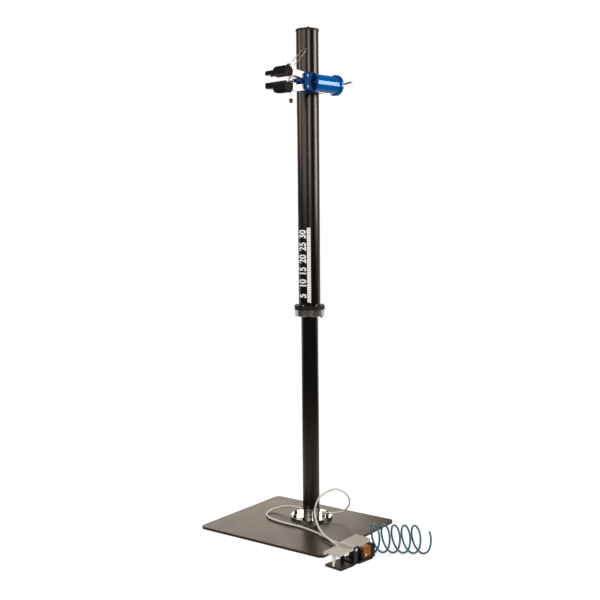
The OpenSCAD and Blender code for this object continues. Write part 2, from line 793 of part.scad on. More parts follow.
// Saddle between the column and the head body, hollowed to fit both round walls
module head_saddle() {
    span = head_offset - saddle_wing;
    color([0.1, 0.1, 0.1]) at_head() difference() {
        translate([-span / 2, 0, 0]) cube([span, saddle_l, saddle_h], center = true);
        translate([-head_offset, 0, -saddle_h])
            cylinder(r = upper_tube_r + run_fit, h = 2 * saddle_h, $fn = 96);
        translate([0, -saddle_l, 0]) along_y(head_d + 2 * run_fit, 2 * saddle_l, $fn = 96);
        at_saddle_bolts()
            cylinder(d = saddle_bolt_d + screw_play, h = head_wall + saddle_bolt_grip + screw_play);
    }
}

// The seats of the bolts inside the head body; a bolt's thread points to the column
module at_saddle_bolts() {
    for (y = [-1, 1]) translate([-saddle_seat_r, y * saddle_bolt_pitch / 2, 0])
        rotate([0, -90, 0]) children();
}

module saddle_bolts() {
    color([0.7, 0.7, 0.72]) at_head() at_saddle_bolts() mirror([0, 0, 1])
        cap_screw(saddle_bolt_d, head_r + saddle_bolt_grip - saddle_seat_r);
}

// Blue head body: a round housing with a rear flange and bored seats for its bushes
module head_body() {
    mid_r = head_r - head_wall;
    body_l = head_l;
    rear_y = head_rear;
    color([0.0, 0.3, 0.65]) at_head() difference() {
        rotate([-90, 0, 0]) translate([0, 0, head_body_y]) rotate_extrude($fn = 96) polygon([
            [head_bore_r, 0], [head_r - edge, 0], [head_r, edge],
            [head_r, body_l - head_flange_t - wide_edge],
            [head_r + wide_edge, body_l - head_flange_t],
            [head_flange_d / 2, body_l - head_flange_t],
            [head_flange_d / 2, body_l - edge], [head_flange_d / 2 - edge, body_l], [head_bore_r, body_l],
            [head_bore_r, body_l - head_bush_l], [mid_r, body_l - head_bush_l - wide_edge],
            [mid_r, head_bush_l + wide_edge], [head_bore_r, head_bush_l]]);
        at_saddle_bolts() cylinder(d = saddle_bolt_d + screw_play, h = head_wall + over);
        at_saddle_bolts() mirror([0, 0, 1])
            cylinder(d = saddle_bolt_d * screw_head_share + screw_play, h = saddle_bolt_d);
    }
}

module head_bushes() {
    color([0.7, 0.5, 0.2]) at_head() for (y = [head_body_y, head_rear - head_bush_l])
        translate([0, y, 0]) rotate([-90, 0, 0])
        tube(head_bore_r - run_fit / 2, head_shaft_d / 2 + run_fit, head_bush_l);
}

// Shaft with a threaded rear end for the lock lever
module head_shaft() {
    r = head_shaft_d / 2;
    stud_end = head_rear + lock_hub_l + gap;
    color([0.75, 0.75, 0.77]) at_head() rotate([-90, 0, 0]) rotate_extrude() polygon([
        [0, head_front + head_flange_t - hub_socket_l], [r, head_front + head_flange_t - hub_socket_l],
        [r, head_rear], [lock_stud_d / 2, head_rear], [lock_stud_d / 2, stud_end - edge],
        [lock_stud_d / 2 - edge, stud_end], [0, stud_end]]);
}

// Front hub: flange, two cheeks that hold the arms' pins, and a tongue between the arms
module head_hub() {
    cheek_x = arm_w / 2 + gap;
    r = head_shaft_d / 2;
    color([0.0, 0.27, 0.6]) at_head() difference() {
        union() {
            rotate([-90, 0, 0]) translate([0, 0, head_front]) rotate_extrude($fn = 96) polygon([
                [0, 0], [head_flange_d / 2 - wide_edge, 0], [head_flange_d / 2, wide_edge],
                [head_flange_d / 2, head_flange_t - edge], [head_flange_d / 2 - edge, head_flange_t],
                [0, head_flange_t]]);
            for (x = [-1, 1]) translate([x * (cheek_x + cheek_t / 2) - cheek_t / 2, 0, 0])
                rotate([90, 0, 90]) linear_extrude(cheek_t) cheek_outline();
            translate([-arm_w / 2, -tongue_y, -tongue_h / 2])
                cube([arm_w, tongue_y + head_front + over, tongue_h]);
        }
        for (z = [-1, 1]) translate([0, -pivot_reach, z * pivot_offset])
            along_x(pivot_d + 2 * run_fit, arm_w + 4 * cheek_t);
        for (z = [-1, 1]) translate([0, -pivot_reach, z * pivot_offset])
            along_x(arm_end_d + 2 * arm_play, arm_w + 2 * gap);
        round_hub_screws() translate([0, 0, -head_flange_t * 2])
            cylinder(d = hub_screw_d + screw_play, h = head_flange_t * 4);
        translate([0, head_front + head_flange_t - hub_socket_l, 0])
            along_y(2 * r + 2 * run_fit, hub_socket_l + over);
    }
}

module cheek_outline() {
    cheek_l = pivot_reach + head_front;
    translate([-pivot_reach, -pivot_offset - cheek_r])
        square([cheek_l + over, 2 * (pivot_offset + cheek_r)]);
    translate([-pivot_reach - cheek_r, -pivot_offset]) square([cheek_r + over, 2 * pivot_offset]);
    for (z = [-1, 1]) translate([-pivot_reach, z * pivot_offset]) circle(cheek_r);
}

module round_hub_screws() {
    translate([0, head_front, 0]) rotate([90, 0, 0]) round_ring(hub_screws_n, hub_screw_r)
        children();
}

module hub_screws() {
    color([0.75, 0.75, 0.77]) at_head() round_hub_screws() cap_screw(hub_screw_d, head_flange_t - edge);
}

// Pins with a head on the outer side of one cheek and a ring on the other
module pivot_pins() {
    half = arm_w / 2 + gap + cheek_t;
    head_t = 4;
    head_w = pivot_d * 1.3;
    color([0.8, 0.8, 0.82]) at_head() for (z = [-1, 1]) translate([0, -pivot_reach, z * pivot_offset]) {
        along_x(pivot_d, 2 * half);
        for (x = [-1, 1]) translate([x * (half + head_t / 2), 0, 0]) along_x(head_w, head_t);
    }
}

// Rear lock lever: a hub on the shaft's thread and a thin rod
module lock_lever() {
    y = head_rear + gap;
    rod_l = lock_lever_l - lever_ball_d / 2;
    color([0.75, 0.75, 0.77]) at_head() difference() {
        union() {
            translate([0, y, 0]) along_y(lock_hub_d, lock_hub_l);
            translate([0, y + lock_hub_l / 2, 0]) rotate([0, -lock_lever_tilt, 0]) rotate([0, 90, 0])
                cylinder(d = lock_lever_d, h = rod_l);
        }
        translate([0, y - over, 0]) along_y(lock_stud_d + 2 * run_fit, lock_hub_l + 2 * over);
    }
}

module lever_ball() {
    y = head_rear + gap + lock_hub_l / 2;
    color([0.85, 0.83, 0.78]) at_head() translate([0, y, 0])
        rotate([0, -lock_lever_tilt, 0]) rotate([0, 90, 0])
        translate([0, 0, lock_lever_l]) difference() {
            sphere(d = lever_ball_d);
            translate([0, 0, -lever_ball_d]) cylinder(d = lock_lever_d, h = lever_ball_d / 2);
        }
}

// One arm, seen as the upper one: a rounded pivot end, a tapering blade and a flat tongue in the jaw
module arm() {
    out_pivot = pivot_offset + arm_end_d / 2;
    tongue_end = jaw_reach + jaw_d / 2 - jaw_lip - gap;
    blade_end = jaw_back_y - gap;
    tongue_top = arm_in_jaw + arm_tongue_t;
    difference() {
        union() {
            translate([-arm_w / 2, 0, 0]) rotate([90, 0, 90]) linear_extrude(arm_w) {
                polygon([[-pivot_reach, arm_in_pivot], [-pivot_reach, out_pivot],
                    [-spindle_reach + cam_d, arm_top], [-spindle_reach - cam_d / 2, arm_top],
                    [-blade_end, tongue_top], [-blade_end, arm_in_jaw],
                    [-spindle_reach - spring_d / 2, arm_in_spindle],
                    [-spindle_reach + spring_d / 2, arm_in_spindle]]);
                translate([-pivot_reach, pivot_offset]) circle(d = arm_end_d);
            }
            translate([-arm_w / 2, -tongue_end, arm_in_jaw])
                cube([arm_w, tongue_end - blade_end + over, arm_tongue_t]);
        }
        translate([0, -pivot_reach, pivot_offset]) along_x(pivot_d + 2 * run_fit, arm_w + 2 * over);
        for (y = [-1, 1]) translate([0, -spindle_reach + y * (arm_slot_l - spindle_d - edge) / 2, 0])
            cylinder(d = spindle_d + edge, h = arm_top + over);
        translate([-spindle_r - edge / 2, -spindle_reach - (arm_slot_l - spindle_d - edge) / 2, 0])
            cube([spindle_d + edge, arm_slot_l - spindle_d - edge, arm_top + over]);
        for (x = [-1, 1]) translate([x * jaw_bolt_pitch / 2, -jaw_reach, arm_in_jaw - over])
            cylinder(d = jaw_bolt_d + screw_play, h = arm_tongue_t + 2 * over);
    }
}

// One jaw, seen as the upper one: a bar with a round nose past the pad and a round-backed hump over the
// arm. The nose reaches to nose_face, and is cut back round the clamped tube.
module jaw(nose_face, hump_h) {
    slot = arm_w + 2 * gap;
    hump_top = jaw_back + hump_h;
    hump_x = pad_l / 2 - jaw_hump_l / 2;
    far_end = pad_l / 2 + jaw_nose_l;
    difference() {
        union() {
            translate([0, -jaw_back_y, 0]) rotate([90, 0, 0]) linear_extrude(jaw_d)
                jaw_bar_outline(nose_face);
            intersection() {
                translate([0, -jaw_back_y, 0]) rotate([90, 0, 0]) linear_extrude(jaw_d)
                    jaw_hump_outline(hump_top);
                translate([-far_end, 0, 0]) rotate([90, 0, 90]) linear_extrude(far_end + pad_l)
                    jaw_hump_end(hump_top);
            }
        }
        translate([-slot / 2, -jaw_reach - jaw_d / 2 + jaw_lip, arm_in_jaw])
            cube([slot, jaw_d, arm_tongue_t + gap]);
        for (x = [-1, 1]) translate([x * jaw_bolt_pitch / 2, -jaw_reach, jaw_face - over])
            cylinder(d = jaw_bolt_d + screw_play, h = arm_in_jaw + arm_tongue_t - jaw_face + over);
        translate([-far_end - over, -jaw_reach, 0])
            rotate([0, 90, 0])
            cylinder(r = clamped_d / 2 + jaw_nose_relief, h = jaw_nose_l + over, $fn = 72);
        // Grooves across the hump's back
        for (k = [-1.5:1:1.5])
            translate([hump_x + k * jaw_groove_step, -jaw_reach, hump_top])
            cube([jaw_groove_w, 2 * jaw_d, 2 * jaw_groove_depth], center = true);
    }
}

module jaw_bar_outline(nose_face) {
    near = pad_l / 2;
    far = -near - jaw_nose_l;
    r = jaw_tip_r;
    translate([far + r, jaw_face]) square([near - far - r, jaw_bar_t]);
    translate([far, nose_face]) square([jaw_nose_l - gap, jaw_back - r - nose_face]);
    translate([far + r, jaw_back - r]) circle(r);
}

// The hump from the front: a round shoulder on the nose's side and a small round at the other end
module jaw_hump_outline(top) {
    near = pad_l / 2;
    r = jaw_hump_shoulder_r;
    e = jaw_hump_end_r;
    low = jaw_back - edge;
    shoulder_x = near - jaw_hump_l + r;
    intersection() {
        union() {
            translate([shoulder_x, top - r]) circle(r);
            translate([shoulder_x, low]) square([near - e - shoulder_x, top - low]);
            translate([near - e, top - e]) circle(e);
            translate([near - e, low]) square([e, top - e - low]);
        }
        translate([near - jaw_hump_l, low]) square([jaw_hump_l, top - low]);
    }
}

// The hump from its end: a small round at the front and a large one down to the back
module jaw_hump_end(top) {
    front = -jaw_back_y - jaw_d;
    f = jaw_hump_front_r;
    b = jaw_hump_back_r;
    low = jaw_back - edge;
    intersection() {
        union() {
            translate([front, low - over]) square([f, top - f - low + over]);
            translate([front + f, top - f]) circle(f);
            translate([front + f, low - over]) square([jaw_d - f - b, top - low + over]);
            translate([-jaw_back_y - b, top - b]) circle(b);
        }
        translate([front, low - over]) square([jaw_d, top - low + over]);
    }
}

// One rubber pad, seen as the upper one, with the round groove for the clamped tube
module pad() {
    w = jaw_d - pad_inset;
    difference() {
        translate([-pad_l / 2, -jaw_reach - w / 2, jaw_gap / 2]) cube([pad_l, w, pad_t]);
        translate([0, -jaw_reach, 0]) along_x(clamped_d, pad_l + 2 * over, $fn = 72);
    }
}

module upper_arm() {
    color([0.82, 0.82, 0.84]) at_head() {
        arm();
        translate([0, -spindle_reach, arm_top - edge / 2]) difference() {
            cylinder(d = cam_d, h = cam_seat_t + edge / 2);
            for (y = [-1, 0, 1]) translate([0, y * (arm_slot_l - spindle_d - edge) / 2, -over])
                cylinder(d = spindle_d + edge, h = cam_seat_t + 2 * over);
        }
    }
}

module lower_arm() {
    color([0.82, 0.82, 0.84]) at_head() mirror([0, 0, 1]) arm();
}

module upper_jaw() {
    color([0.08, 0.09, 0.08]) at_head() jaw(jaw_face, jaw_hump_h);
}

module lower_jaw() {
    color([0.08, 0.09, 0.08]) at_head() mirror([0, 0, 1]) jaw(jaw_gap / 2 + jaw_nose_drop, lower_hump_h);
}

module upper_pad() {
    color([0.15, 0.13, 0.13]) at_head() pad();
}

module lower_pad() {
    color([0.15, 0.13, 0.13]) at_head() mirror([0, 0, 1]) pad();
}

// Clamping spindle: a rod through both arms with an eye for the cam's pin
module spindle() {
    bottom = knob_z + knob_h / 2;
    color([0.78, 0.78, 0.8]) at_head() translate([0, -spindle_reach, 0]) {
        translate([0, 0, bottom]) cylinder(d = spindle_d, h = cam_pin_z - bottom);
        translate([0, 0, -arm_top - spindle_ring_play - spindle_ring_t])
            cylinder(d = spindle_ring_d, h = spindle_ring_t);
        translate([0, 0, cam_pin_z]) along_x(spindle_eye_d, spindle_d);
        translate([0, 0, cam_pin_z]) along_x(cam_pin_d, cam_w + bail_wire_d);
    }
}

// Wire lever with its eccentric cam: two cam cheeks on the pin and a long wire loop
module cam_lever() {
    cheek_w = (cam_w - spindle_d) / 2 - gap;
    leg_x = bail_w / 2 - bail_wire_d / 2;
    straight = bail_l - leg_x;
    color([0.8, 0.8, 0.82]) at_head() translate([0, -spindle_reach, cam_pin_z]) difference() {
        union() {
            for (x = [-1, 1]) translate([x * (spindle_r + gap + cheek_w / 2), 0, cam_throw])
                along_x(cam_d, cheek_w);
            for (x = [-1, 1]) translate([x * (spindle_r + gap + cheek_w), 0, cam_throw])
                translate([x * bail_wire_d / 2, 0, 0]) along_x(bail_boss_d, bail_wire_d + cam_side_play);
            rotate([90 - bail_angle, 0, 0]) mirror([0, 1, 0]) {
                for (x = [-1, 1]) translate([x * leg_x, 0, 0]) rotate([90, 0, 0])
                    translate([0, 0, 0]) cylinder(d = bail_wire_d, h = straight);
            }
            rotate([bail_angle, 0, 0]) translate([0, straight, 0]) rotate_extrude(angle = 180, $fn = 32)
                translate([leg_x, 0]) circle(d = bail_wire_d, $fn = 24);
        }
        along_x(cam_pin_d + 2 * run_fit, bail_w + 2 * over);
    }
}

// Dark knob on the lower end of the spindle
module adjusting_knob() {
    bore = spindle_d + 2 * run_fit;
    color([0.12, 0.12, 0.12]) at_head() translate([0, -spindle_reach, knob_z]) difference() {
        rotate_extrude() polygon([[0, 0], [knob_d / 2 - knob_edge, 0], [knob_d / 2, knob_edge],
            [knob_d / 2, knob_h - knob_edge], [bore / 2 + wide_edge, knob_h], [0, knob_h]]);
        translate([0, 0, knob_h / 2 - gap]) cylinder(d = bore, h = knob_h);
    }
}

// Barrel-shaped spring round the spindle that pushes the arms apart
function spring_point(u) = let (a = 360 * spring_turns * u, swell = sin(180 * u),
    r = spring_end_r + (spring_d / 2 - spring_wire_d / 2 - spring_end_r) * swell)
    [r * cos(a), r * sin(a), -spring_z + 2 * spring_z * u];
spring_rings = 36;
spring_path = [for (i = [0:spring_rings]) spring_point(i / spring_rings)];
echo(spring_gap = own_gap(spring_path, spring_wire_d, 6));

module jaw_spring() {
    color([0.8, 0.8, 0.82]) at_head() translate([0, -spindle_reach, 0])
        swept_tube(spring_path, spring_wire_d, 6, [1, 0, 0]);
}

// Base of the foot valve, narrowed at the bracket
module pedal_base() {
    l = pedal_front_l + pedal_rear_l;
    color([0.1, 0.1, 0.1]) at_pedal() difference() {
        translate([0, (pedal_rear_l - pedal_front_l) / 2, 0]) linear_extrude(pedal_t)
            round_rect(pedal_w, l, pedal_corner_r);
        for (x = [-1, 1]) translate([x * pedal_w / 2, pedal_pin_y, -over])
            translate([-notch_d, -notch_l / 2, 0]) cube([2 * notch_d, notch_l, pedal_t + 2 * over]);
    }
}

// U bracket: its web lies on the base and its cheeks carry the treadle's pin
module pedal_bracket() {
    inner = pedal_w / 2 - notch_d + gap;
    top_r = bracket_w / 2;
    color([0.1, 0.1, 0.1]) at_pedal() translate([0, pedal_pin_y, 0]) difference() {
        union() {
            translate([-inner - bracket_t, -top_r, pedal_t])
                cube([2 * (inner + bracket_t), bracket_w, bracket_t]);
            for (x = [-1, 1]) translate([x * (inner + bracket_t / 2) - bracket_t / 2, 0, 0]) {
                translate([0, -top_r, edge]) cube([bracket_t, bracket_w, pedal_pin_h - edge]);
                translate([bracket_t / 2, 0, pedal_pin_h]) along_x(bracket_w, bracket_t);
            }
        }
        translate([0, 0, pedal_pin_h]) along_x(pedal_pin_d + 2 * run_fit, pedal_w + 2 * over);
    }
}

module pedal_pin() {
    half = pedal_w / 2 - notch_d + gap + bracket_t + gap / 2;
    color([0.75, 0.75, 0.77]) at_pedal() translate([0, pedal_pin_y, pedal_pin_h]) {
        along_x(pedal_pin_d, 2 * half);
        for (x = [-1, 1]) translate([x * (half + pin_head_t / 2), 0, 0])
            along_x(pedal_pin_d * pin_head_share, pin_head_t, $fn = 24);
    }
}

// Treadle: a ribbed front deck, a raised rear deck with side skirts, and lugs on the pin
module treadle() {
    front_w = pedal_w - 2 * front_deck_inset;
    rear_w = pedal_w - 2 * rear_deck_inset;
    rear_top = deck_rise + deck_step;
    rib_step = front_w / treadle_ribs_n;
    rib_z = deck_rise + treadle_t - rib_h;
    lug_x = pedal_w / 2 - notch_d - lug_t - edge;
    color([0.72, 0.68, 0.64]) at_treadle() difference() {
        union() {
            translate([-front_w / 2, -deck_join - front_deck_l, deck_rise])
                cube([front_w, front_deck_l + treadle_t, treadle_t]);
            for (i = [0:treadle_ribs_n - 1])
                translate([-front_w / 2 + (i + 0.25) * rib_step, -deck_join - front_deck_l, rib_z])
                cube([rib_step / 2, front_deck_l, 2 * rib_h]);
            translate([-front_w / 2, -deck_join - front_deck_l, deck_rise - lip_drop])
                cube([front_w / 6, treadle_t / 2, lip_drop + over]);
            translate([-rear_w / 2, -deck_join, deck_rise])
                cube([rear_w, treadle_t, deck_step + treadle_t]);
            translate([-rear_w / 2, -deck_join, rear_top])
                cube([rear_w, deck_join + rear_deck_l, treadle_t]);
            for (x = [-1, 1])
                translate([x * (rear_w - skirt_t) / 2 - skirt_t / 2, skirt_start, rear_top - skirt_drop])
                cube([skirt_t, rear_deck_l - skirt_start, skirt_drop + over]);
            for (x = [-1, 1]) translate([x * (lug_x + lug_t / 2), 0, 0]) {
                along_x(2 * lug_r, lug_t);
                translate([-lug_t / 2, -lug_r, 0]) cube([lug_t, 2 * lug_r, rear_top + over]);
            }
        }
        along_x(pedal_pin_d + 2 * run_fit, pedal_w);
    }
}

// Brass valve block with the bore for its spool and two outlets on its plate side
module valve_body() {
    color([0.72, 0.42, 0.15]) at_pedal() difference() {
        translate([-valve_w / 2, valve_y, valve_z]) cube([valve_w, valve_l, valve_h]);
        translate([0, spool_y, valve_z + spool_d]) cylinder(d = spool_d + 2 * run_fit, h = valve_h);
        for (y = [outlet_front_y, outlet_rear_y])
            translate([-valve_w / 2 - over, y, outlet_z]) rotate([0, 90, 0])
            cylinder(d = port_d, h = valve_w / 4);
        translate([valve_w / 2 - silencer_d, silencer_y, silencer_z]) rotate([0, 90, 0])
            cylinder(d = port_d, h = silencer_d + over);
        for (x = [-1, 1], z = [-1, 1])
            translate([x * valve_bolt_x, valve_y - over, valve_mid_z + z * valve_bolt_z])
            along_y(valve_bolt_d + screw_play, valve_l + 2 * over);
    }
}

// Black caps at both ends of the valve block; the rear one reaches down behind the base
module valve_end_caps() {
    cap_w = valve_w + 2 * valve_cap_over;
    rear_y = valve_y + valve_l;
    color([0.12, 0.12, 0.12]) at_pedal() difference() {
        union() {
            translate([-cap_w / 2, valve_y - valve_cap_t, valve_z])
                cube([cap_w, valve_cap_t, valve_h - edge]);
            translate([-cap_w / 2, rear_y + gap, cap_bottom])
                cube([cap_w, valve_rear_cap_t - gap, valve_z + valve_h + valve_cap_over - cap_bottom]);
            translate([-cap_w / 2, rear_y, valve_z + edge])
                cube([cap_w, gap + over, valve_h - edge]);
        }
        for (x = [-1, 1], z = [-1, 1])
            translate([x * valve_bolt_x, valve_y - valve_cap_t - over, valve_mid_z + z * valve_bolt_z])
            along_y(valve_bolt_d + screw_play, valve_cap_t + valve_l + valve_rear_cap_t + 2 * over);
        translate([elbow_x, rear_y + valve_rear_cap_t - elbow_seat, elbow_z])
            along_y(port_d, elbow_seat + over);
        translate([exhaust_x, rear_y + valve_rear_cap_t / 2, valve_z + valve_h - port_d])
            cylinder(d = port_d, h = 2 * port_d);
    }
}

module valve_cap_bolts() {
    rear_y = valve_y + valve_l + valve_rear_cap_t;
    l = valve_l + valve_rear_cap_t + valve_cap_t - valve_bolt_short;
    color([0.75, 0.75, 0.77]) at_pedal() for (x = [-1, 1], z = [-1, 1])
        translate([x * valve_bolt_x, rear_y, valve_mid_z + z * valve_bolt_z]) rotate([-90, 0, 0])
        cap_screw(valve_bolt_d, l);
}

// Spool that the treadle's rear deck moves
module valve_spool() {
    head_d = spool_d * screw_head_share;
    rise = (spool_y - pedal_pin_y) * tan(treadle_slope);
    deck_z = pedal_pin_h + rise + (deck_rise + deck_step) / cos(treadle_slope);
    top = deck_z - head_d / 2 * tan(treadle_slope) - rocker_gap;
    bottom = valve_z + spool_d + spool_under;
    color([0.78, 0.78, 0.8]) at_pedal() translate([0, spool_y, 0]) {
        translate([0, 0, bottom]) cylinder(d = spool_d, h = top - bottom);
        translate([0, 0, top - plunger_head_t]) cylinder(d = head_d, h = plunger_head_t);
    }
}

module valve_outlet_fittings() {
    color([0.15, 0.15, 0.16]) at_pedal() for (y = [outlet_front_y, outlet_rear_y])
        translate([-valve_w / 2, y, outlet_z]) rotate([0, -90, 0]) {
            cylinder(d = outlet_d, h = outlet_l - release_l, $fn = 6);
            cylinder(d = release_d, h = outlet_l);
            translate([0, 0, -port_d]) cylinder(d = port_d - screw_play, h = port_d + edge);
        }
}

// Silencer on the outer side of the valve block and one on top of the rear cap
module exhaust_silencers() {
    rear_y = valve_y + valve_l;
    stem = port_d - screw_play;
    color([0.8, 0.8, 0.8]) at_pedal() {
        translate([valve_w / 2, silencer_y, silencer_z]) rotate([0, 90, 0]) {
            cylinder(d = silencer_d, h = silencer_side_l);
            translate([0, 0, -silencer_d / 2]) cylinder(d = stem, h = silencer_d);
        }
        translate([exhaust_x, rear_y + valve_rear_cap_t / 2, valve_z + valve_h + valve_cap_over]) {
            cylinder(d = silencer_d, h = silencer_top_l / 2, $fn = 6);
            cylinder(d = silencer_d * silencer_tip_share, h = silencer_top_l);
            translate([0, 0, -port_d]) cylinder(d = stem, h = port_d + edge);
        }
    }
}

// Sleeve and plunger of the return post under the front deck
module post_sleeve() {
    color([0.85, 0.84, 0.82]) at_pedal() translate([0, post_y, pedal_t]) difference() {
        cylinder(d = post_d, h = post_h);
        translate([0, 0, treadle_t]) cylinder(d = plunger_d + 2 * run_fit, h = post_h);
    }
}

module return_plunger() {
    under = pedal_pin_h + (post_y - pedal_pin_y) * tan(treadle_slope) + deck_rise;
    top = under - post_d / 2 * tan(treadle_slope) - rocker_gap;
    bottom = pedal_t + post_h / 2;
    color([0.8, 0.8, 0.8]) at_pedal() translate([0, post_y, 0]) {
        translate([0, 0, bottom]) cylinder(d = plunger_d, h = top - bottom);
        translate([0, 0, top - plunger_head_t]) cylinder(d = post_d - edge, h = plunger_head_t);
    }
}

// The hose's coil: a helix whose turns face a little away from the line that they lie along
coil_line = [cos(coil_run_turn), sin(coil_run_turn), 0];
coil_side = [sin(coil_face_turn), -cos(coil_face_turn), 0];
coil_axis_z = coil_r + hose_d / 2 + edge / 10;
function coil_point(n) = [coil_start.x, coil_start.y, coil_axis_z] + coil_pitch * n * coil_line
    + coil_r * ([0, 0, -cos(360 * n)] + sin(360 * n) * coil_side);
coil_steps = round((coil_to - coil_from) * coil_rings_per_turn);
coil_turns = [for (i = [0:coil_steps]) coil_point(coil_from + (coil_to - coil_from) * i / coil_steps)];
coil_in = unit(coil_turns[1] - coil_turns[0]);
coil_out = unit(coil_turns[coil_steps] - coil_turns[coil_steps - 1]);
hose_path = concat([coil_turns[0] - hose_d * coil_in], coil_turns,
    [coil_turns[coil_steps] + hose_d * coil_out]);
echo(coil_gap = own_gap(hose_path, hose_d, coil_rings_per_turn / 2));
echo(hose_start = hose_path[0], hose_direction = coil_in);

module supply_hose() {
    color([0.05, 0.35, 0.5]) swept_tube(hose_path, hose_d, coil_sides, [0, 0, 1]);
}

// Elbow from the rear cap to the start of the coil
elbow_d = 12;
elbow_seat = 6;
elbow_barb_l = 7;
elbow_ring_d = hose_d + wide_edge;
elbow_joint = hose_path[0] - elbow_barb_l * coil_in;
elbow_local = spin(elbow_joint - [pedal_x, pedal_y, 0], -pedal_turn);
elbow_x = elbow_local.x;
elbow_z = elbow_local.z;

module hose_elbow() {
    rear_y = valve_y + valve_l + valve_rear_cap_t;
    color([0.75, 0.76, 0.78]) {
        at_pedal() translate([elbow_x, rear_y - elbow_seat + edge, elbow_z])
            along_y(port_d - screw_play, elbow_seat);
        at_pedal() translate([elbow_x, rear_y, elbow_z])
            along_y(elbow_d, elbow_local.y + elbow_d / 2 - rear_y);
        translate(elbow_joint) rotate([0, acos(coil_in.z), atan2(coil_in.y, coil_in.x)])
            cylinder(d = elbow_ring_d, h = elbow_barb_l);
    }
}

left_start = spin([left_fitting_reach, 0, left_fitting_z], left_fitting_turn);
left_out = spin([1, 0, 0], left_fitting_turn);
left_end = pedal_to_floor([-valve_w / 2 - outlet_l, outlet_rear_y, outlet_z]);
right_start = spin([right_fitting_r, 0, right_fitting_z], right_fitting_turn)
    + spin([right_outlet_l, 0, 0], right_outlet_turn);
right_out = spin([1, 0, 0], right_outlet_turn);
right_end = pedal_to_floor([-valve_w / 2 - outlet_l, outlet_front_y, outlet_z]);
end_out = spin([-1, 0, 0], pedal_turn);

// A tube runs straight for one diameter out of each fitting and is curved between
function tube_route(start, out, route, finish, back, steps) = concat([start],
    smooth(concat([start + air_tube_d * out], route, [finish + air_tube_d * back]), steps), [finish]);
left_path = tube_route(left_start, left_out, left_route, left_end, end_out, 3);
right_path = tube_route(right_start, right_out, right_route, right_end, end_out, 2);

function path_length(p) = [for (i = [0:len(p) - 2]) norm(p[i + 1] - p[i])] * [for (i = [0:len(p) - 2]) 1];
echo(left_length = path_length(left_path), right_length = path_length(right_path));
echo(hose_length = path_length(hose_path));
echo(left_rings = len(left_path), right_rings = len(right_path), hose_rings = len(hose_path));
echo(left_end = left_end, right_end = right_end);

module air_tube_left() {
    color([0.92, 0.92, 0.88]) swept_tube(left_path, air_tube_d, tube_sides, [0, 0, 1]);
}

module air_tube_right() {
    color([0.92, 0.92, 0.88]) swept_tube(right_path, air_tube_d, tube_sides, [0, 0, 1]);
}

base_plate();
base_flange();
flange_screws();
lower_tube();
tube_set_screws();
cylinder_barrel();
cylinder_gland();
rod_bush();
upper_guide_bush();
left_air_fitting();
right_air_fitting();
piston();
piston_seals();
piston_rod();
thrust_washer();
rod_nut();
upper_tube();
top_cap();
cap_screws();
collar();
collar_screws();
bearing_ring();
guide_bush();
lock_screw();
head_saddle();
saddle_bolts();
head_body();
head_bushes();
head_shaft();
head_hub();
hub_screws();
pivot_pins();
lock_lever();
lever_ball();
upper_arm();
upper_jaw();
upper_pad();
lower_arm();
lower_jaw();
lower_pad();
spindle();
cam_lever();
adjusting_knob();
jaw_spring();
pedal_base();
pedal_bracket();
pedal_pin();
treadle();
valve_body();
valve_end_caps();
valve_cap_bolts();
valve_spool();
valve_outlet_fittings();
exhaust_silencers();
hose_elbow();
post_sleeve();
return_plunger();
air_tube_left();
air_tube_right();
supply_hose();
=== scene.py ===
# %% [markdown]
# A bicycle repair stand that is lifted by air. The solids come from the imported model. This script adds
# the camera, the air lines, the finishes, a few finer pieces, and the light.

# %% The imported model
import json
import math

import bmesh
import bpy
from mathutils import Matrix, Vector


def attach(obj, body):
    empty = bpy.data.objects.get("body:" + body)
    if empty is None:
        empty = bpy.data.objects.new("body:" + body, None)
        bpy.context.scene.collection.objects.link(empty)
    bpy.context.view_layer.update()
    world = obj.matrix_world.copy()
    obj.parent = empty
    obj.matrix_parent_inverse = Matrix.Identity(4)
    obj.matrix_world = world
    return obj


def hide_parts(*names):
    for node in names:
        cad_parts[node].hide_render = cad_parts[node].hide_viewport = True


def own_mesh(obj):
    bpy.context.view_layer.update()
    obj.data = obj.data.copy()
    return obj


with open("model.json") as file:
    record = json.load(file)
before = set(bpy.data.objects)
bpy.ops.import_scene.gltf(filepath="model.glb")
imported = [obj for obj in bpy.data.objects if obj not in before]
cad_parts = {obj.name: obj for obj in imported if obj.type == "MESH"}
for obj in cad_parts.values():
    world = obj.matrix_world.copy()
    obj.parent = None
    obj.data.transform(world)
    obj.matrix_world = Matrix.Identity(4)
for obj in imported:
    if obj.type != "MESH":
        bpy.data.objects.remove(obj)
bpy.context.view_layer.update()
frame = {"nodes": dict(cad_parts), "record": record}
nodes = frame["nodes"]
body_of_node = {n: b for b, ns in frame["record"]["behaviour"]["bodies"].items() for n in ns}

# %% [markdown]
# The photograph looks down a little at the stand from its front right side. A camera's rotation is
# three directions at right angles: its right, its up and the one behind it. They were found by fitting
# a camera to the plate's edges and to the sides of both tubes, so they are written here as measured.

# %% The camera
right = Vector((0.80463, 0.59370, -0.00945)).normalized()
behind = Vector((0.59198, -0.80087, 0.09031)).normalized()
up = behind.cross(right)
right = up.cross(behind)
eye = Vector((2.32966, -3.21341, 1.28349))
camera_data = bpy.data.cameras.new("photo_camera")
camera_data.lens = 58.21
camera_data.sensor_width = 36.0
camera_data.shift_x = -0.001
camera = bpy.data.objects.new("photo_camera", camera_data)
camera.matrix_world = Matrix((
    (right.x, up.x, behind.x, eye.x),
    (right.y, up.y, behind.y, eye.y),
    (right.z, up.z, behind.z, eye.z),
    (0, 0, 0, 1)))
bpy.context.scene.collection.objects.link(camera)
bpy.context.scene.camera = camera
print("camera", [round(v, 3) for v in camera.location])

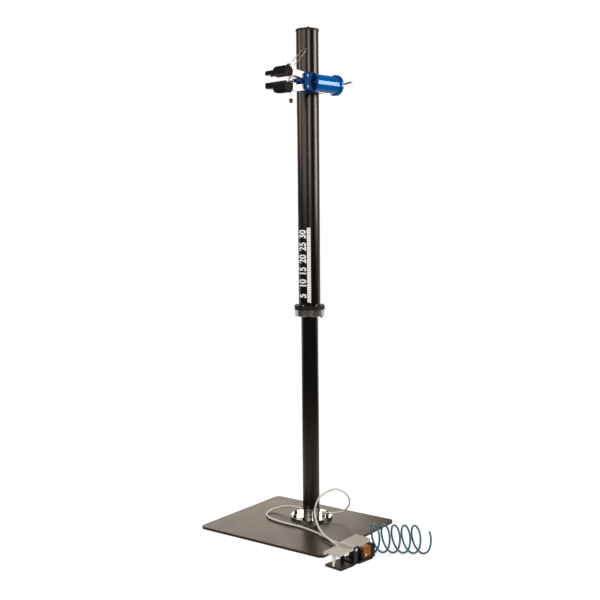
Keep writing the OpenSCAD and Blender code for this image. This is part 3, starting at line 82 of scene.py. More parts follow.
# %% [markdown]
# The head stands beside the column and the foot valve beside the plate, each turned a little about the
# upright axis. Two small functions carry points in millimetres from the head's or the pedal's own frame
# into the stand's, so that a place can be written where it is easy to measure.

# %% Places
MM = 0.001
HEAD_TURN, HEAD_OFFSET, HEAD_HEIGHT = -8.5, 84, 1788
PEDAL_TURN, PEDAL_X, PEDAL_Y = -8, 408, -322


def turned(x, y, degrees):
    c, s = math.cos(math.radians(degrees)), math.sin(math.radians(degrees))
    return x * c - y * s, x * s + y * c


def at_head(x, y, z):
    a, b = turned(x + HEAD_OFFSET, y, HEAD_TURN)
    return Vector((a, b, HEAD_HEIGHT + z)) * MM


def at_pedal(x, y, z):
    a, b = turned(x, y, PEDAL_TURN)
    return Vector((PEDAL_X + a, PEDAL_Y + b, z)) * MM


print("head at", [round(v, 3) for v in at_head(0, 0, 0)])
print("pedal at", [round(v, 3) for v in at_pedal(0, 0, 0)])

# %% [markdown]
# The air lines come first, because their room on the floor is checked. Two stiff 8 mm tubes run from
# the foot to the valve. Each is a curve through the route's points, straight for one diameter at its
# ends, because a stiff tube leaves its fitting straight. The routes were read off the photograph.
#
# The supply hose is wound: its turns stand on the floor side by side along a line, each facing a little
# away from that line. A curve's points carry a radius, which here is the tube's own.

# %% Air lines
TUBE_D = 8
TUBE_STEPS = 6
LEFT_PORT_R, LEFT_PORT_TURN, LEFT_PORT_Z = 50, 194, 45
RIGHT_PORT_R, RIGHT_PORT_TURN, RIGHT_PORT_Z = 54, 15, 35
RIGHT_FITTING_TURN, RIGHT_FITTING_L = 20, 14
VALVE_PORT_X, VALVE_PORT_Z = -40, 28
LEFT_VALVE_Y, RIGHT_VALVE_Y = 70, 50
HOSE_D = 8.0
COIL_R, COIL_PITCH = 51.0, 38
COIL_START = (415.7, -195.5)
COIL_RUN_TURN, COIL_FACE_TURN = 30.6, 59.8
COIL_FROM, COIL_TURNS, COIL_STEPS = 0.12, 5.25, 126
COIL_FLOOR_GAP = 0.1


def smooth_route(points, steps):
    out = []
    last = len(points) - 1
    for i in range(last):
        a, b, c, e = points[max(i - 1, 0)], points[i], points[i + 1], points[min(i + 2, last)]
        for k in range(steps):
            u = k / steps
            out.append(0.5 * (2 * b + (c - a) * u + (2 * a - 5 * b + 4 * c - e) * u ** 2
                              + (3 * b - a - 3 * c + e) * u ** 3))
    return out + [points[last]]


def tube_route(start, out, route, finish, back):
    middle = [Vector(p) * MM for p in route]
    middle = [start + out * TUBE_D * MM] + middle + [finish + back * TUBE_D * MM]
    return [start] + smooth_route(middle, TUBE_STEPS) + [finish]


def cord_curve(name, points, diameter):
    data = bpy.data.curves.new(name, "CURVE")
    data.dimensions = "3D"
    data.bevel_depth = 1
    data.bevel_resolution = 5
    data.use_fill_caps = True
    spline = data.splines.new("POLY")
    spline.points.add(len(points) - 1)
    for p, at in zip(spline.points, points):
        p.co = (*at, 1)
        p.radius = diameter / 2
    spline.use_smooth = True
    piece = bpy.data.objects.new(name, data)
    bpy.context.scene.collection.objects.link(piece)
    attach(piece, "base")
    return piece


def length_of(points):
    return sum((b - a).length for a, b in zip(points, points[1:]))


left_start = Vector((*turned(LEFT_PORT_R, 0, LEFT_PORT_TURN), LEFT_PORT_Z)) * MM
left_out = Vector((*turned(1, 0, LEFT_PORT_TURN), 0))
left_end = at_pedal(VALVE_PORT_X, LEFT_VALVE_Y, VALVE_PORT_Z)
right_foot = Vector((*turned(RIGHT_PORT_R, 0, RIGHT_PORT_TURN), RIGHT_PORT_Z)) * MM
right_out = Vector((*turned(1, 0, RIGHT_FITTING_TURN), 0))
right_start = right_foot + right_out * RIGHT_FITTING_L * MM
right_end = at_pedal(VALVE_PORT_X, RIGHT_VALVE_Y, VALVE_PORT_Z)
valve_out = Vector((*turned(-1, 0, PEDAL_TURN), 0))

left_route = [(-75, -15, 44), (-98, -9, 41), (-132, -4, 34), (-160, -13, 26), (-184, -38, 18),
              (-173, -82, 14.2), (-130, -119, 14.2), (-62, -136, 14.2), (6, -139, 14.2),
              (56, -141, 14.2), (133, -159, 14.2), (207, -189, 14.2), (264, -211, 15),
              (312, -230, 19)]
right_route = [(93, 31, 35), (120, 49, 42), (142, 59, 60), (153, 60, 87), (149, 51, 115),
               (134, 32, 136), (114, 10, 146), (93, -13, 138), (73, -36, 120), (62, -50, 91),
               (61, -61, 58), (85, -86, 36), (126, -127, 26), (186, -181, 24), (237, -213, 21),
               (280, -236, 18), (318, -252, 20)]
left_points = tube_route(left_start, left_out, left_route, left_end, valve_out)
right_points = tube_route(right_start, right_out, right_route, right_end, valve_out)

face_turn = math.radians(COIL_FACE_TURN)
line = Vector((*turned(1, 0, COIL_RUN_TURN), 0))
side = Vector((math.sin(face_turn), -math.cos(face_turn), 0))


def coil_point(n):
    a = 2 * math.pi * n
    centre = Vector((*COIL_START, COIL_R + HOSE_D / 2 + COIL_FLOOR_GAP)) + COIL_PITCH * n * line
    return (centre + COIL_R * (Vector((0, 0, -math.cos(a))) + math.sin(a) * side)) * MM


def coil(steps):
    return [coil_point(COIL_FROM + COIL_TURNS * i / steps) for i in range(steps + 1)]


chords = coil(COIL_STEPS)
coil_in = (chords[1] - chords[0]).normalized()
coil_out = (chords[-1] - chords[-2]).normalized()
turns = coil(2 * COIL_STEPS)
hose_points = [turns[0] - coil_in * HOSE_D * MM] + turns + [turns[-1] + coil_out * HOSE_D * MM]

left_tube = cord_curve("left_air_line", left_points, TUBE_D * MM)
right_tube = cord_curve("right_air_line", right_points, TUBE_D * MM)
hose = cord_curve("coiled_supply_hose", hose_points, HOSE_D * MM)
for piece, node, points, d, far, lay, stiff in (
        (left_tube, "air_tube_left", left_points, TUBE_D * MM, "object", "loose", "stiff"),
        (right_tube, "air_tube_right", right_points, TUBE_D * MM, "object", "loose", "stiff"),
        (hose, "supply_hose", hose_points, HOSE_D * MM, "bare", "coiled", "stiff")):
    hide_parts(node)
    round(length_of(points), 3)
    print(piece.name, "length", round(length_of(points), 3))

# %% [markdown]
# Finishes are built from sums on sockets. The class below wraps one socket, so that a pattern can be
# written as a Python expression. One method adds any other node.

# %% Sums on sockets


class Sock:
    def __init__(self, finish, socket):
        self.finish, self.socket = finish, socket

    def _do(self, operation, a, b):
        return self.finish.node("ShaderNodeMath", {"operation": operation}, a, b)

    def __add__(self, o): return self._do("ADD", self, o)
    def __radd__(self, o): return self._do("ADD", o, self)
    def __sub__(self, o): return self._do("SUBTRACT", self, o)
    def __rsub__(self, o): return self._do("SUBTRACT", o, self)
    def __mul__(self, o): return self._do("MULTIPLY", self, o)
    def __rmul__(self, o): return self._do("MULTIPLY", o, self)
    def __truediv__(self, o): return self._do("DIVIDE", self, o)
    def __rtruediv__(self, o): return self._do("DIVIDE", o, self)
    def __pow__(self, o): return self._do("POWER", self, o)


class Finish:
    """One material: its shader, its object coordinates and the nodes that are added to it"""

    def __init__(self, name, colour, rough, metal=0.0, **fixed):
        self.material = bpy.data.materials.new(name)
        self.material.use_nodes = True
        self.tree = self.material.node_tree
        self.shader = self.tree.nodes["Principled BSDF"]
        self.put("Base Color", (*colour, 1))
        self.put("Roughness", rough)
        self.put("Metallic", metal)
        for key, value in fixed.items():
            self.put(key.replace("_", " "), value)
        at = self.tree.nodes.new("ShaderNodeTexCoord")
        self.at = Sock(self, at.outputs["Object"])

    def put(self, key, value):
        socket = self.shader.inputs[key]
        if isinstance(value, Sock):
            self.tree.links.new(value.socket, socket)
        else:
            socket.default_value = value

    def node(self, kind, settings, *values, out=0, **named):
        n = self.tree.nodes.new(kind)
        for key, value in settings.items():
            setattr(n, key, value)
        pairs = list(enumerate(values)) + [(k.replace("_", " "), v) for k, v in named.items()]
        for key, value in pairs:
            if isinstance(value, Sock):
                self.tree.links.new(value.socket, n.inputs[key])
            elif value is not None:
                n.inputs[key].default_value = value
        return Sock(self, n.outputs[out])

    def noise(self, scale, detail=3.0, stretch=(1, 1, 1), rough=0.5, turn=0):
        turned_by = (0, 0, math.radians(turn))
        place = self.node("ShaderNodeMapping", {}, self.at, (0, 0, 0), turned_by, stretch)
        return self.node("ShaderNodeTexNoise", {}, Vector=place, Scale=scale, Detail=detail,
                         Roughness=rough)

    def parts(self, turn=0, at=None):
        """The three coordinates, after a turn in degrees about the upright axis"""
        place = self.node("ShaderNodeMapping", {}, at or self.at, (0, 0, 0),
                          (0, 0, math.radians(turn)), (1, 1, 1))
        n = self.tree.nodes.new("ShaderNodeSeparateXYZ")
        self.tree.links.new(place.socket, n.inputs[0])
        return [Sock(self, o) for o in n.outputs]

    def step(self, value, low, high):
        """Nought below low, one above high, and a slope between"""
        return self.node("ShaderNodeMapRange", {"clamp": True}, value, low, high, 0.0, 1.0)

    def mix(self, share, a, b):
        n = self.tree.nodes.new("ShaderNodeMix")
        n.data_type = "RGBA"
        for i, value in ((0, share), (6, a), (7, b)):
            if isinstance(value, Sock):
                self.tree.links.new(value.socket, n.inputs[i])
            else:
                n.inputs[i].default_value = value if i == 0 else (*value, 1)
        return Sock(self, n.outputs[2])

    def surface(self, shader):
        out = self.tree.nodes["Material Output"]
        self.tree.links.new(shader.socket, out.inputs["Surface"])

    def rays(self):
        """One for a ray that the camera, a mirror or glass sends, nought for the light's own bounces"""
        path = self.tree.nodes.new("ShaderNodeLightPath")
        kinds = ("Camera", "Glossy", "Transmission")
        seen = [Sock(self, path.outputs["Is %s Ray" % kind]) for kind in kinds]
        total = seen[0] + seen[1] + seen[2]
        return self.node("ShaderNodeMath", {"operation": "MINIMUM"}, total, 1.0)

    def bump(self, height, strength, distance):
        self.put("Normal", self.node("ShaderNodeBump", {}, Strength=strength, Distance=distance,
                                     Height=height))


print("socket sums ready")

# %% [markdown]
# Black parts. The tubes are black anodised: drawn lengthwise, so their gloss has faint upright streaks.
# The plate and the valve's base are powder coated, with a fine pebbled skin and a few rubbed places.

# %% Black finishes


def black_tube():
    f = Finish("black_anodised_tube", (0.006, 0.005, 0.0045), 0.24, Specular_IOR_Level=0.42,
               Specular_Tint=(1.0, 0.86, 0.79, 1))
    streak = f.noise(90, 3, (1, 1, 0.02))
    cloud = f.noise(7, 3)
    f.put("Roughness", 0.17 + 0.08 * streak + 0.06 * cloud)
    f.put("Base Color", f.mix(cloud, (0.0008, 0.0007, 0.0006), (0.0022, 0.0018, 0.0016)))
    f.bump(streak, 0.05, 0.0002)
    return f.material


def powder_coat(name, colour, rough, grain=900, shine=0.5):
    f = Finish(name, colour, rough, Specular_IOR_Level=shine, Specular_Tint=(1.0, 0.88, 0.77, 1))
    skin = f.noise(grain, 2)
    cloud = f.noise(11, 4)
    scuff = f.step(f.noise(34, 6, (1, 3, 1), 0.62), 0.61, 0.72)
    pale = tuple(c * 2.0 + 0.004 for c in colour)
    f.put("Base Color", f.mix(scuff * 0.5, colour, pale))
    f.put("Roughness", rough - 0.08 + 0.12 * cloud + 0.1 * scuff)
    f.bump(skin, 0.18, 0.0002)
    return f.material


BLACK_TUBE = black_tube()
PLATE_BLACK = powder_coat("powder_coated_plate", (0.026, 0.0195, 0.0155), 0.32, shine=0.12)
PART_BLACK = powder_coat("powder_coated_steel", (0.006, 0.0056, 0.005), 0.5, 1300, 0.3)
print("black finishes ready")

# %% [markdown]
# Bright metals. A lathe leaves fine rings round the part's axis, so a turned part's pattern is noise
# read on the distance from the upright axis and on the height. Milled parts carry straight fine lines.

# %% Metal finishes
RING_SCALE, LINE_SCALE = 2600, 500


def turned_metal(name, colour, rough):
    f = Finish(name, colour, rough, 1.0)
    x, y, z = f.parts()
    away = (x * x + y * y) ** 0.5
    place = f.node("ShaderNodeCombineXYZ", {}, away, z, 0.0)
    ring = f.node("ShaderNodeTexNoise", {}, Vector=place, Scale=RING_SCALE, Detail=2.0, Roughness=0.5)
    cloud = f.noise(30, 3)
    f.put("Roughness", rough - 0.06 + 0.12 * ring + 0.08 * cloud)
    f.bump(ring, 0.12, 0.0001)
    return f.material


def lined_metal(name, colour, rough, metal, stretch, turn):
    f = Finish(name, colour, rough, metal)
    fine_line = f.noise(LINE_SCALE, 3, stretch, turn=turn)
    cloud = f.noise(24, 4)
    dark = tuple(c * 0.82 for c in colour)
    f.put("Base Color", f.mix(cloud, dark, colour))
    f.put("Roughness", rough - 0.07 + 0.16 * fine_line + 0.06 * cloud)
    f.bump(fine_line, 0.1, 0.0001)
    return f.material


def plated(name, colour, rough):
    f = Finish(name, colour, rough, 1.0)
    cloud = f.noise(160, 4)
    spot = f.step(f.noise(420, 5), 0.63, 0.75)
    f.put("Roughness", rough - 0.04 + 0.12 * cloud + 0.15 * spot)
    f.put("Base Color", f.mix(spot * 0.35, colour, tuple(c * 0.55 for c in colour)))
    return f.material


def black_oxide():
    f = Finish("blackened_screw", (0.02, 0.02, 0.021), 0.4, 0.7)
    cloud = f.noise(300, 4)
    f.put("Roughness", 0.32 + 0.18 * cloud)
    worn_and_paler = f.step(cloud, 0.55, 0.75)
    f.put("Base Color", f.mix(worn_and_paler, (0.016, 0.016, 0.017), (0.045, 0.042, 0.04)))
    return f.material


POLISHED = turned_metal("polished_steel", (0.50, 0.485, 0.46), 0.13)
RING_STEEL = turned_metal("bearing_steel", (0.52, 0.50, 0.47), 0.2)
TURNED = turned_metal("turned_alloy", (0.68, 0.68, 0.69), 0.3)
CHROME = plated("chromed_steel", (0.66, 0.65, 0.63), 0.12)
WIRE_STEEL = plated("spring_wire", (0.24, 0.21, 0.18), 0.24)
ROD_STEEL = plated("ground_rod", (0.42, 0.33, 0.30), 0.22)
HEAD_SCREW = plated("blued_screw", (0.05, 0.07, 0.16), 0.34)
ZINC = plated("zinc_plated_screw", (0.62, 0.62, 0.64), 0.26)
NICKEL = plated("nickel_plated_fitting", (0.68, 0.67, 0.65), 0.2)
ARM_ALLOY = lined_metal("milled_arm", (0.60, 0.60, 0.63), 0.45, 0.2, (1, 0.06, 1), -HEAD_TURN)
BRONZE = turned_metal("bearing_bronze", (0.58, 0.36, 0.14), 0.3)
BLACK_SCREW = black_oxide()
print("metal finishes ready")

# %% [markdown]
# The head is anodised a strong blue: a metal under a coloured, glossy skin. The valve block is a warm
# brass-coloured casting, and the treadle is a dull blasted alloy that shoes have rubbed.

# %% Coloured finishes
RIBBED_WIDTH, RIB_GAPS = 76.0, 4.5
DECK_STEP_Y, FRONT_FADE_Y = -0.025, -0.03


def blue_anodised(name, rough, shine, deep, light):
    f = Finish(name, deep, rough, 0.2, Specular_IOR_Level=shine)
    ring = f.noise(900, 2, (0.03, 1, 0.03), turn=-HEAD_TURN)
    cloud = f.noise(14, 3)
    f.put("Roughness", rough - 0.05 + 0.06 * ring + 0.04 * cloud)
    f.put("Base Color", f.mix(cloud, deep, light))
    f.bump(ring, 0.06, 0.0001)
    return f.material


def valve_brass():
    f = Finish("valve_brass", (0.40, 0.16, 0.045), 0.34, 0.9)
    cloud = f.noise(60, 5)
    grain = f.noise(900, 3, (1, 0.15, 1), turn=-PEDAL_TURN)
    f.put("Base Color", f.mix(cloud, (0.22, 0.068, 0.010), (0.37, 0.135, 0.026)))
    f.put("Roughness", 0.27 + 0.14 * cloud + 0.08 * grain)
    f.bump(grain, 0.12, 0.0001)
    return f.material


def treadle_alloy():
    f = Finish("blasted_treadle", (0.50, 0.46, 0.42), 0.5, 0.45)
    grain = f.noise(1600, 2)
    cloud = f.noise(40, 5)
    rub = f.step(f.noise(26, 6, (1, 0.35, 1), 0.6, turn=-PEDAL_TURN), 0.54, 0.7)
    from_pedal = f.node("ShaderNodeVectorMath", {"operation": "SUBTRACT"}, f.at, at_pedal(0, 0, 0))
    across, along, _ = f.parts(-PEDAL_TURN, from_pedal)
    half = RIBBED_WIDTH / 2 * MM
    # The dark stripes in front of the deck step are painted shade for grooves that the mesh lacks; how
    # dark they are varies at random.
    rib = f.node("ShaderNodeMath", {"operation": "PINGPONG"}, (across + half) / (half / RIB_GAPS), 0.5)
    in_front = 1.0 - f.step(along, DECK_STEP_Y - MM, DECK_STEP_Y + MM)
    groove_shade = (1.0 - f.step(rib, 0.2, 0.3)) * in_front
    groove_shade = groove_shade * (0.08 + 0.2 * cloud)
    worn_and_paler = f.mix(rub, (0.41, 0.37, 0.325), (0.51, 0.47, 0.425))
    # The deck's colour turns paler towards the front, in front of FRONT_FADE_Y.
    worn_and_paler = f.mix(1.0 - f.step(along, FRONT_FADE_Y, 0.0), worn_and_paler, (0.56, 0.51, 0.46))
    f.put("Base Color", f.mix(groove_shade, worn_and_paler, (0.14, 0.12, 0.10)))
    f.put("Roughness", 0.56 - 0.16 * rub + 0.08 * cloud)
    f.bump(grain, 0.25, 0.0002)
    return f.material


BLUE = blue_anodised("blue_anodised", 0.11, 0.45, (0.0, 0.072, 0.25), (0.0, 0.088, 0.30))
# The hub is the same anodised blue as the head; its far darker copy of that blue is painted shade.
SHADED_HUB_BLUE = blue_anodised("blue_anodised_hub_shaded", 0.45, 0.03, (0.0, 0.018, 0.08), (0.0, 0.027, 0.105))
BRASS = valve_brass()
TREADLE = treadle_alloy()
print("coloured finishes ready")

# %% [markdown]
# Plastics and rubber. The jaws are glossy black mouldings, the pads are dull rubber with a reddish
# black, the tubes are milky and the hose is a glossy blue green.

# %% Plastic and rubber finishes


def moulded(name, colour, rough, grain=1400, strength=0.15, shine=0.5):
    f = Finish(name, colour, rough, Specular_IOR_Level=shine)
    skin = f.noise(grain, 2)
    cloud = f.noise(45, 4)
    pale = tuple(c * 1.5 + 0.002 for c in colour)
    f.put("Base Color", f.mix(cloud, colour, pale))
    f.put("Roughness", rough - 0.05 + 0.12 * cloud)
    f.bump(skin, strength, 0.0002)
    return f.material


JAW_BLACK = moulded("moulded_jaw", (0.003, 0.0033, 0.0026), 0.36, shine=0.02)
PAD_RUBBER = moulded("pad_rubber", (0.016, 0.007, 0.006), 0.6, 2200, 0.4, shine=0.25)
SEAL_RUBBER = moulded("seal_rubber", (0.02, 0.02, 0.02), 0.6)
KNOB_BLACK = moulded("knob_plastic", (0.009, 0.009, 0.009), 0.36)
CAP_BLACK = moulded("cap_plastic", (0.006, 0.006, 0.0055), 0.34, shine=0.15)
PALE_PLASTIC = moulded("lever_ball_plastic", (0.62, 0.60, 0.54), 0.3)
SLIDE_PLASTIC = moulded("slide_plastic", (0.72, 0.72, 0.66), 0.5)
MILKY = moulded("milky_air_tube", (0.47, 0.44, 0.395), 0.34, 500, 0.05)
HOSE_BLUE = moulded("blue_hose", (0.022, 0.085, 0.125), 0.24, 500, 0.05)
print("plastic finishes ready")

# %% [markdown]
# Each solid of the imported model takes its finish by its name. Parts of one kind share one material, as
# they would share one treatment in a workshop, so a change to it reaches all of them.

# %% Finishes on the solids
finish_of = {
    "base_plate": PLATE_BLACK, "base_flange": POLISHED, "flange_screws": BLACK_SCREW,
    "lower_tube": BLACK_TUBE, "tube_set_screws": ZINC, "cylinder_barrel": TURNED,
    "cylinder_gland": TURNED, "rod_bush": BRONZE, "upper_guide_bush": SLIDE_PLASTIC,
    "left_air_fitting": NICKEL, "right_air_fitting": NICKEL, "piston": TURNED,
    "piston_seals": SEAL_RUBBER, "piston_rod": CHROME, "thrust_washer": BRONZE, "rod_nut": ZINC,
    "upper_tube": BLACK_TUBE, "top_cap": PART_BLACK, "cap_screws": BLACK_SCREW, "collar": PART_BLACK,
    "collar_screws": ZINC, "bearing_ring": RING_STEEL, "guide_bush": SLIDE_PLASTIC,
    "lock_screw": BLACK_SCREW, "head_saddle": PART_BLACK, "saddle_bolts": ZINC, "head_body": BLUE,
    "head_bushes": BRONZE, "head_shaft": CHROME, "head_hub": SHADED_HUB_BLUE, "hub_screws": HEAD_SCREW,
    "pivot_pins": HEAD_SCREW, "lock_lever": ROD_STEEL, "lever_ball": PALE_PLASTIC,
    "upper_arm": ARM_ALLOY, "upper_jaw": JAW_BLACK, "upper_pad": PAD_RUBBER,
    "lower_arm": ARM_ALLOY, "lower_jaw": JAW_BLACK,
    "lower_pad": PAD_RUBBER, "spindle": CHROME, "cam_lever": WIRE_STEEL, "adjusting_knob": KNOB_BLACK,
    "jaw_spring": CHROME, "pedal_base": PART_BLACK, "pedal_bracket": PART_BLACK, "pedal_pin": ZINC,
    "treadle": TREADLE, "valve_body": BRASS, "valve_end_caps": CAP_BLACK, "valve_cap_bolts": ZINC,
    "valve_spool": CHROME, "valve_outlet_fittings": KNOB_BLACK, "exhaust_silencers": NICKEL,
    "hose_elbow": NICKEL, "post_sleeve": CHROME, "return_plunger": CHROME,
    "air_tube_left": MILKY, "air_tube_right": MILKY, "supply_hose": HOSE_BLUE}
for name, finish in finish_of.items():
    data = nodes[name].data
    data.materials.clear()
    data.materials.append(finish)
left_tube.data.materials.append(MILKY)
right_tube.data.materials.append(MILKY)
hose.data.materials.append(HOSE_BLUE)
print("finished nodes", len(finish_of), "of", len(nodes))

# %% [markdown]
# A real edge is never perfectly sharp, and its small round catches the light. This helper copies a
# solid, merges its triangles into faces, and bevels the edges that turn sharply. A face that is broad
# beside its neighbours is shaded flat, so that the bevels' normals don't bend the light over it.
# Setting sharp edges resets those marks, so they are kept in a list and put back. The copy then stands
# in for the solid, and the solid itself is left alone.

# %% Softened copies
MERGE_WITHIN = 2e-6
COPLANAR, CURVED, SHARP, SPLIT = (math.radians(v) for v in (0.6, 0.7, 28, 32))
BROAD = 4


def softened(node, width):
    work = bmesh.new()
    work.from_mesh(nodes[node].data)
    bmesh.ops.remove_doubles(work, verts=work.verts, dist=MERGE_WITHIN)
    bmesh.ops.dissolve_limit(work, angle_limit=COPLANAR, verts=work.verts, edges=work.edges)
    sharp = {e for e in work.edges if len(e.link_faces) == 2 and e.calc_face_angle() > SHARP}
    for face in work.faces:
        curved = [e for e in face.edges if e not in sharp and e.calc_face_angle(0) > CURVED]
        beside = [f.calc_area() for e in curved for f in e.link_faces if f != face]
        face.smooth = bool(beside) and face.calc_area() < BROAD * sum(beside) / len(beside)
    made = bmesh.ops.bevel(work, geom=list(sharp), offset=width * MM, offset_type="OFFSET",
                           segments=2, profile=0.5, affect="EDGES", clamp_overlap=True, material=-1)
    for face in made["faces"]:
        face.smooth = True
    smooth = [face.smooth for face in work.faces]
    data = bpy.data.meshes.new(node + "_soft")
    work.to_mesh(data)
    work.free()
    data.materials.append(finish_of[node])
    data.set_sharp_from_angle(angle=SPLIT)
    data.polygons.foreach_set("use_smooth", smooth)
    piece = bpy.data.objects.new(node + "_soft", data)
    bpy.context.scene.collection.objects.link(piece)
    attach(piece, body_of_node[node])
    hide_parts(node)
    print(piece.name, "faces", len(data.polygons))


for node, width in (("base_plate", 0.8), ("treadle", 0.6), ("upper_jaw", 2.2), ("lower_jaw", 2.2),
                    ("upper_pad", 0.8), ("lower_pad", 0.8), ("upper_arm", 0.8), ("lower_arm", 0.8),
                    ("head_hub", 0.8), ("valve_body", 0.6), ("valve_end_caps", 0.8),
                    ("pedal_base", 0.5), ("pedal_bracket", 0.5)):
    softened(node, width)

# %% [markdown]
# The spring between the arms is a wound wire. A curve along the same spiral, with more points and a
# round section, takes the place of the faceted solid, and is made a mesh.

# %% The spring between the arms
SPRING_TURNS, SPRING_STEPS = 4.5, 144
SPRING_END_R, SPRING_MIDDLE_R = 8.8, 11.3
SPRING_Y, SPRING_H, SPRING_WIRE_D = -178, 33, 2.4


def spring_point(u):
    a = 2 * math.pi * SPRING_TURNS * u
    r = SPRING_END_R + (SPRING_MIDDLE_R - SPRING_END_R) * math.sin(math.pi * u)
    return at_head(r * math.cos(a), SPRING_Y + r * math.sin(a), -SPRING_H / 2 + SPRING_H * u)


def wire_mesh(name, points, diameter, finish, body, node):
    data = bpy.data.curves.new(name, "CURVE")
    data.dimensions = "3D"
    data.bevel_depth = diameter / 2
    data.bevel_resolution = 3
    data.use_fill_caps = True
    spline = data.splines.new("POLY")
    spline.points.add(len(points) - 1)
    for p, at in zip(spline.points, points):
        p.co = (*at, 1)
    source = bpy.data.objects.new(name + "_curve", data)
    bpy.context.scene.collection.objects.link(source)
    bpy.context.view_layer.update()
    depsgraph = bpy.context.evaluated_depsgraph_get()
    mesh = bpy.data.meshes.new_from_object(source.evaluated_get(depsgraph))
    mesh.name = name
    bpy.data.objects.remove(source)
    mesh.materials.clear()
    mesh.materials.append(finish)
    mesh.polygons.foreach_set("use_smooth", [True] * len(mesh.polygons))
    piece = bpy.data.objects.new(name, mesh)
    bpy.context.scene.collection.objects.link(piece)
    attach(piece, body)
    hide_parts(node)
    print(name, "faces", len(mesh.polygons))
    return piece


spring_points = [spring_point(i / SPRING_STEPS) for i in range(SPRING_STEPS + 1)]
spring = wire_mesh("wound_spring", spring_points, SPRING_WIRE_D * MM, CHROME,
                   "clamp_head", "jaw_spring")
tuple(at_head(0, SPRING_Y, 0))
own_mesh(spring)

# %% [markdown]
# A printed scale runs up the lifting tube: bold figures in centimetres beside a pale strip with a tick
# for each centimetre. On the real tube it would be a film or a silk-screened print. Each part is laid
# out flat, cut across at short steps, and then bent round the tube.

# %% The printed scale
TUBE_R = 45.0
SCALE_LOW, SCALE_HIGH = 914.0, 1220.0
SCALE_ZERO, SCALE_STEP = 894.0, 5
STRIP_AT, STRIP_W, FIGURES_AT = -55.5, 15.0, -90.0
PRINT_LIFT = 0.06
CUTS_EACH_SIDE, CUT_STEP = 12, 2.5
FIGURE_SIZE, FIGURE_WEIGHT, FIGURE_NARROW = 48, 1.6, 0.72


def printed(work, name, finish, azimuth):
    """Bends a flat print: its x runs up the tube and its y to the left round it"""
    for cut in range(-CUTS_EACH_SIDE, CUTS_EACH_SIDE + 1):
        bmesh.ops.bisect_plane(work, geom=work.verts[:] + work.edges[:] + work.faces[:], dist=1e-6,
                               plane_co=(0, cut * CUT_STEP * MM, 0), plane_no=(0, 1, 0))
    r = (TUBE_R + PRINT_LIFT) * MM
    for v in work.verts:
        a = math.radians(azimuth) - v.co.y / r
        v.co = (r * math.cos(a), r * math.sin(a), v.co.x)
    data = bpy.data.meshes.new(name)
    work.to_mesh(data)
    work.free()
    data.materials.append(finish)
    piece = bpy.data.objects.new(name, data)
    bpy.context.scene.collection.objects.link(piece)
    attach(piece, body_of_node["upper_tube"])
    print(name, "faces", len(data.polygons))


def print_finish(name, ticks=False):
    f = Finish(name, (0.80, 0.76, 0.74), 0.4, Specular_IOR_Level=0.35)
    wear = f.step(f.noise(260, 6, rough=0.7), 0.66, 0.76)
    pale = f.mix(f.noise(40, 3), (0.76, 0.72, 0.70), (0.84, 0.80, 0.78))
    ink = (0.03, 0.027, 0.025)
    shade = f.mix(wear * 0.5, pale, ink)
    if ticks:
        x, y, z = f.parts(-STRIP_AT)
        up = (z - SCALE_ZERO * MM) / 0.01
        to_tick = f.node("ShaderNodeMath", {"operation": "PINGPONG"}, up, 0.5)
        to_fifth = f.node("ShaderNodeMath", {"operation": "PINGPONG"}, up / 5.0, 0.5)
        tick = (1.0 - f.step(to_tick, 0.05, 0.07)) * f.step(y, -0.0005, 0.0)
        fifth = (1.0 - f.step(to_fifth, 0.012, 0.016)) * f.step(y, -0.0045, -0.004)
        mark = f.node("ShaderNodeMath", {"operation": "MAXIMUM"}, tick, fifth)
        shade = f.mix(mark, shade, ink)
    f.put("Base Color", shade)
    return f.material


PRINT_WHITE = print_finish("printed_white")
strip = bmesh.new()
bmesh.ops.create_grid(strip, x_segments=1, y_segments=1, size=0.5,
                      matrix=Matrix.Diagonal(((SCALE_HIGH - SCALE_LOW) * MM, STRIP_W * MM, 1, 1)))
bmesh.ops.translate(strip, verts=strip.verts, vec=((SCALE_LOW + SCALE_HIGH) / 2 * MM, 0, 0))
bmesh.ops.bisect_plane(strip, geom=strip.verts[:] + strip.edges[:] + strip.faces[:], dist=1e-6,
                       plane_co=((SCALE_LOW + CUT_STEP) * MM, 0, 0), plane_no=(-1, 0.3, 0),
                       clear_outer=True)
printed(strip, "scale_strip", print_finish("printed_strip", ticks=True), STRIP_AT)

figures = bmesh.new()
for number in range(SCALE_STEP, 7 * SCALE_STEP, SCALE_STEP):
    words = bpy.data.curves.new("figure", "FONT")
    words.body = str(number)
    words.size = FIGURE_SIZE * MM
    words.offset = FIGURE_WEIGHT * MM
    words.space_character = 1.02
    words.align_x, words.align_y = "CENTER", "CENTER"
    source = bpy.data.objects.new("figure", words)
    bpy.context.scene.collection.objects.link(source)
    bpy.context.view_layer.update()
    depsgraph = bpy.context.evaluated_depsgraph_get()
    outline = bpy.data.meshes.new_from_object(source.evaluated_get(depsgraph))
    outline.transform(Matrix.Translation(((SCALE_ZERO + number * 10) * MM, 0, 0))
                      @ Matrix.Diagonal((FIGURE_NARROW, 1, 1, 1)))
    figures.from_mesh(outline)
    bpy.data.objects.remove(source)
printed(figures, "scale_figures", PRINT_WHITE, FIGURES_AT)

# %% [markdown]
# The floor is pale. Rays from the camera, a mirror or glass see it as white paper that keeps a soft
# shadow near the stand and turns into plain white farther out, so that no horizon shows. All other
# light meets an ordinary pale floor. A mirror sees the floor behind the stand as that same white, and
# on the camera's side a warm white close by that turns dark farther out, for contrast in the metal.

# %% The floor
BACKDROP_X, BACKDROP_Y = -0.592, 0.801


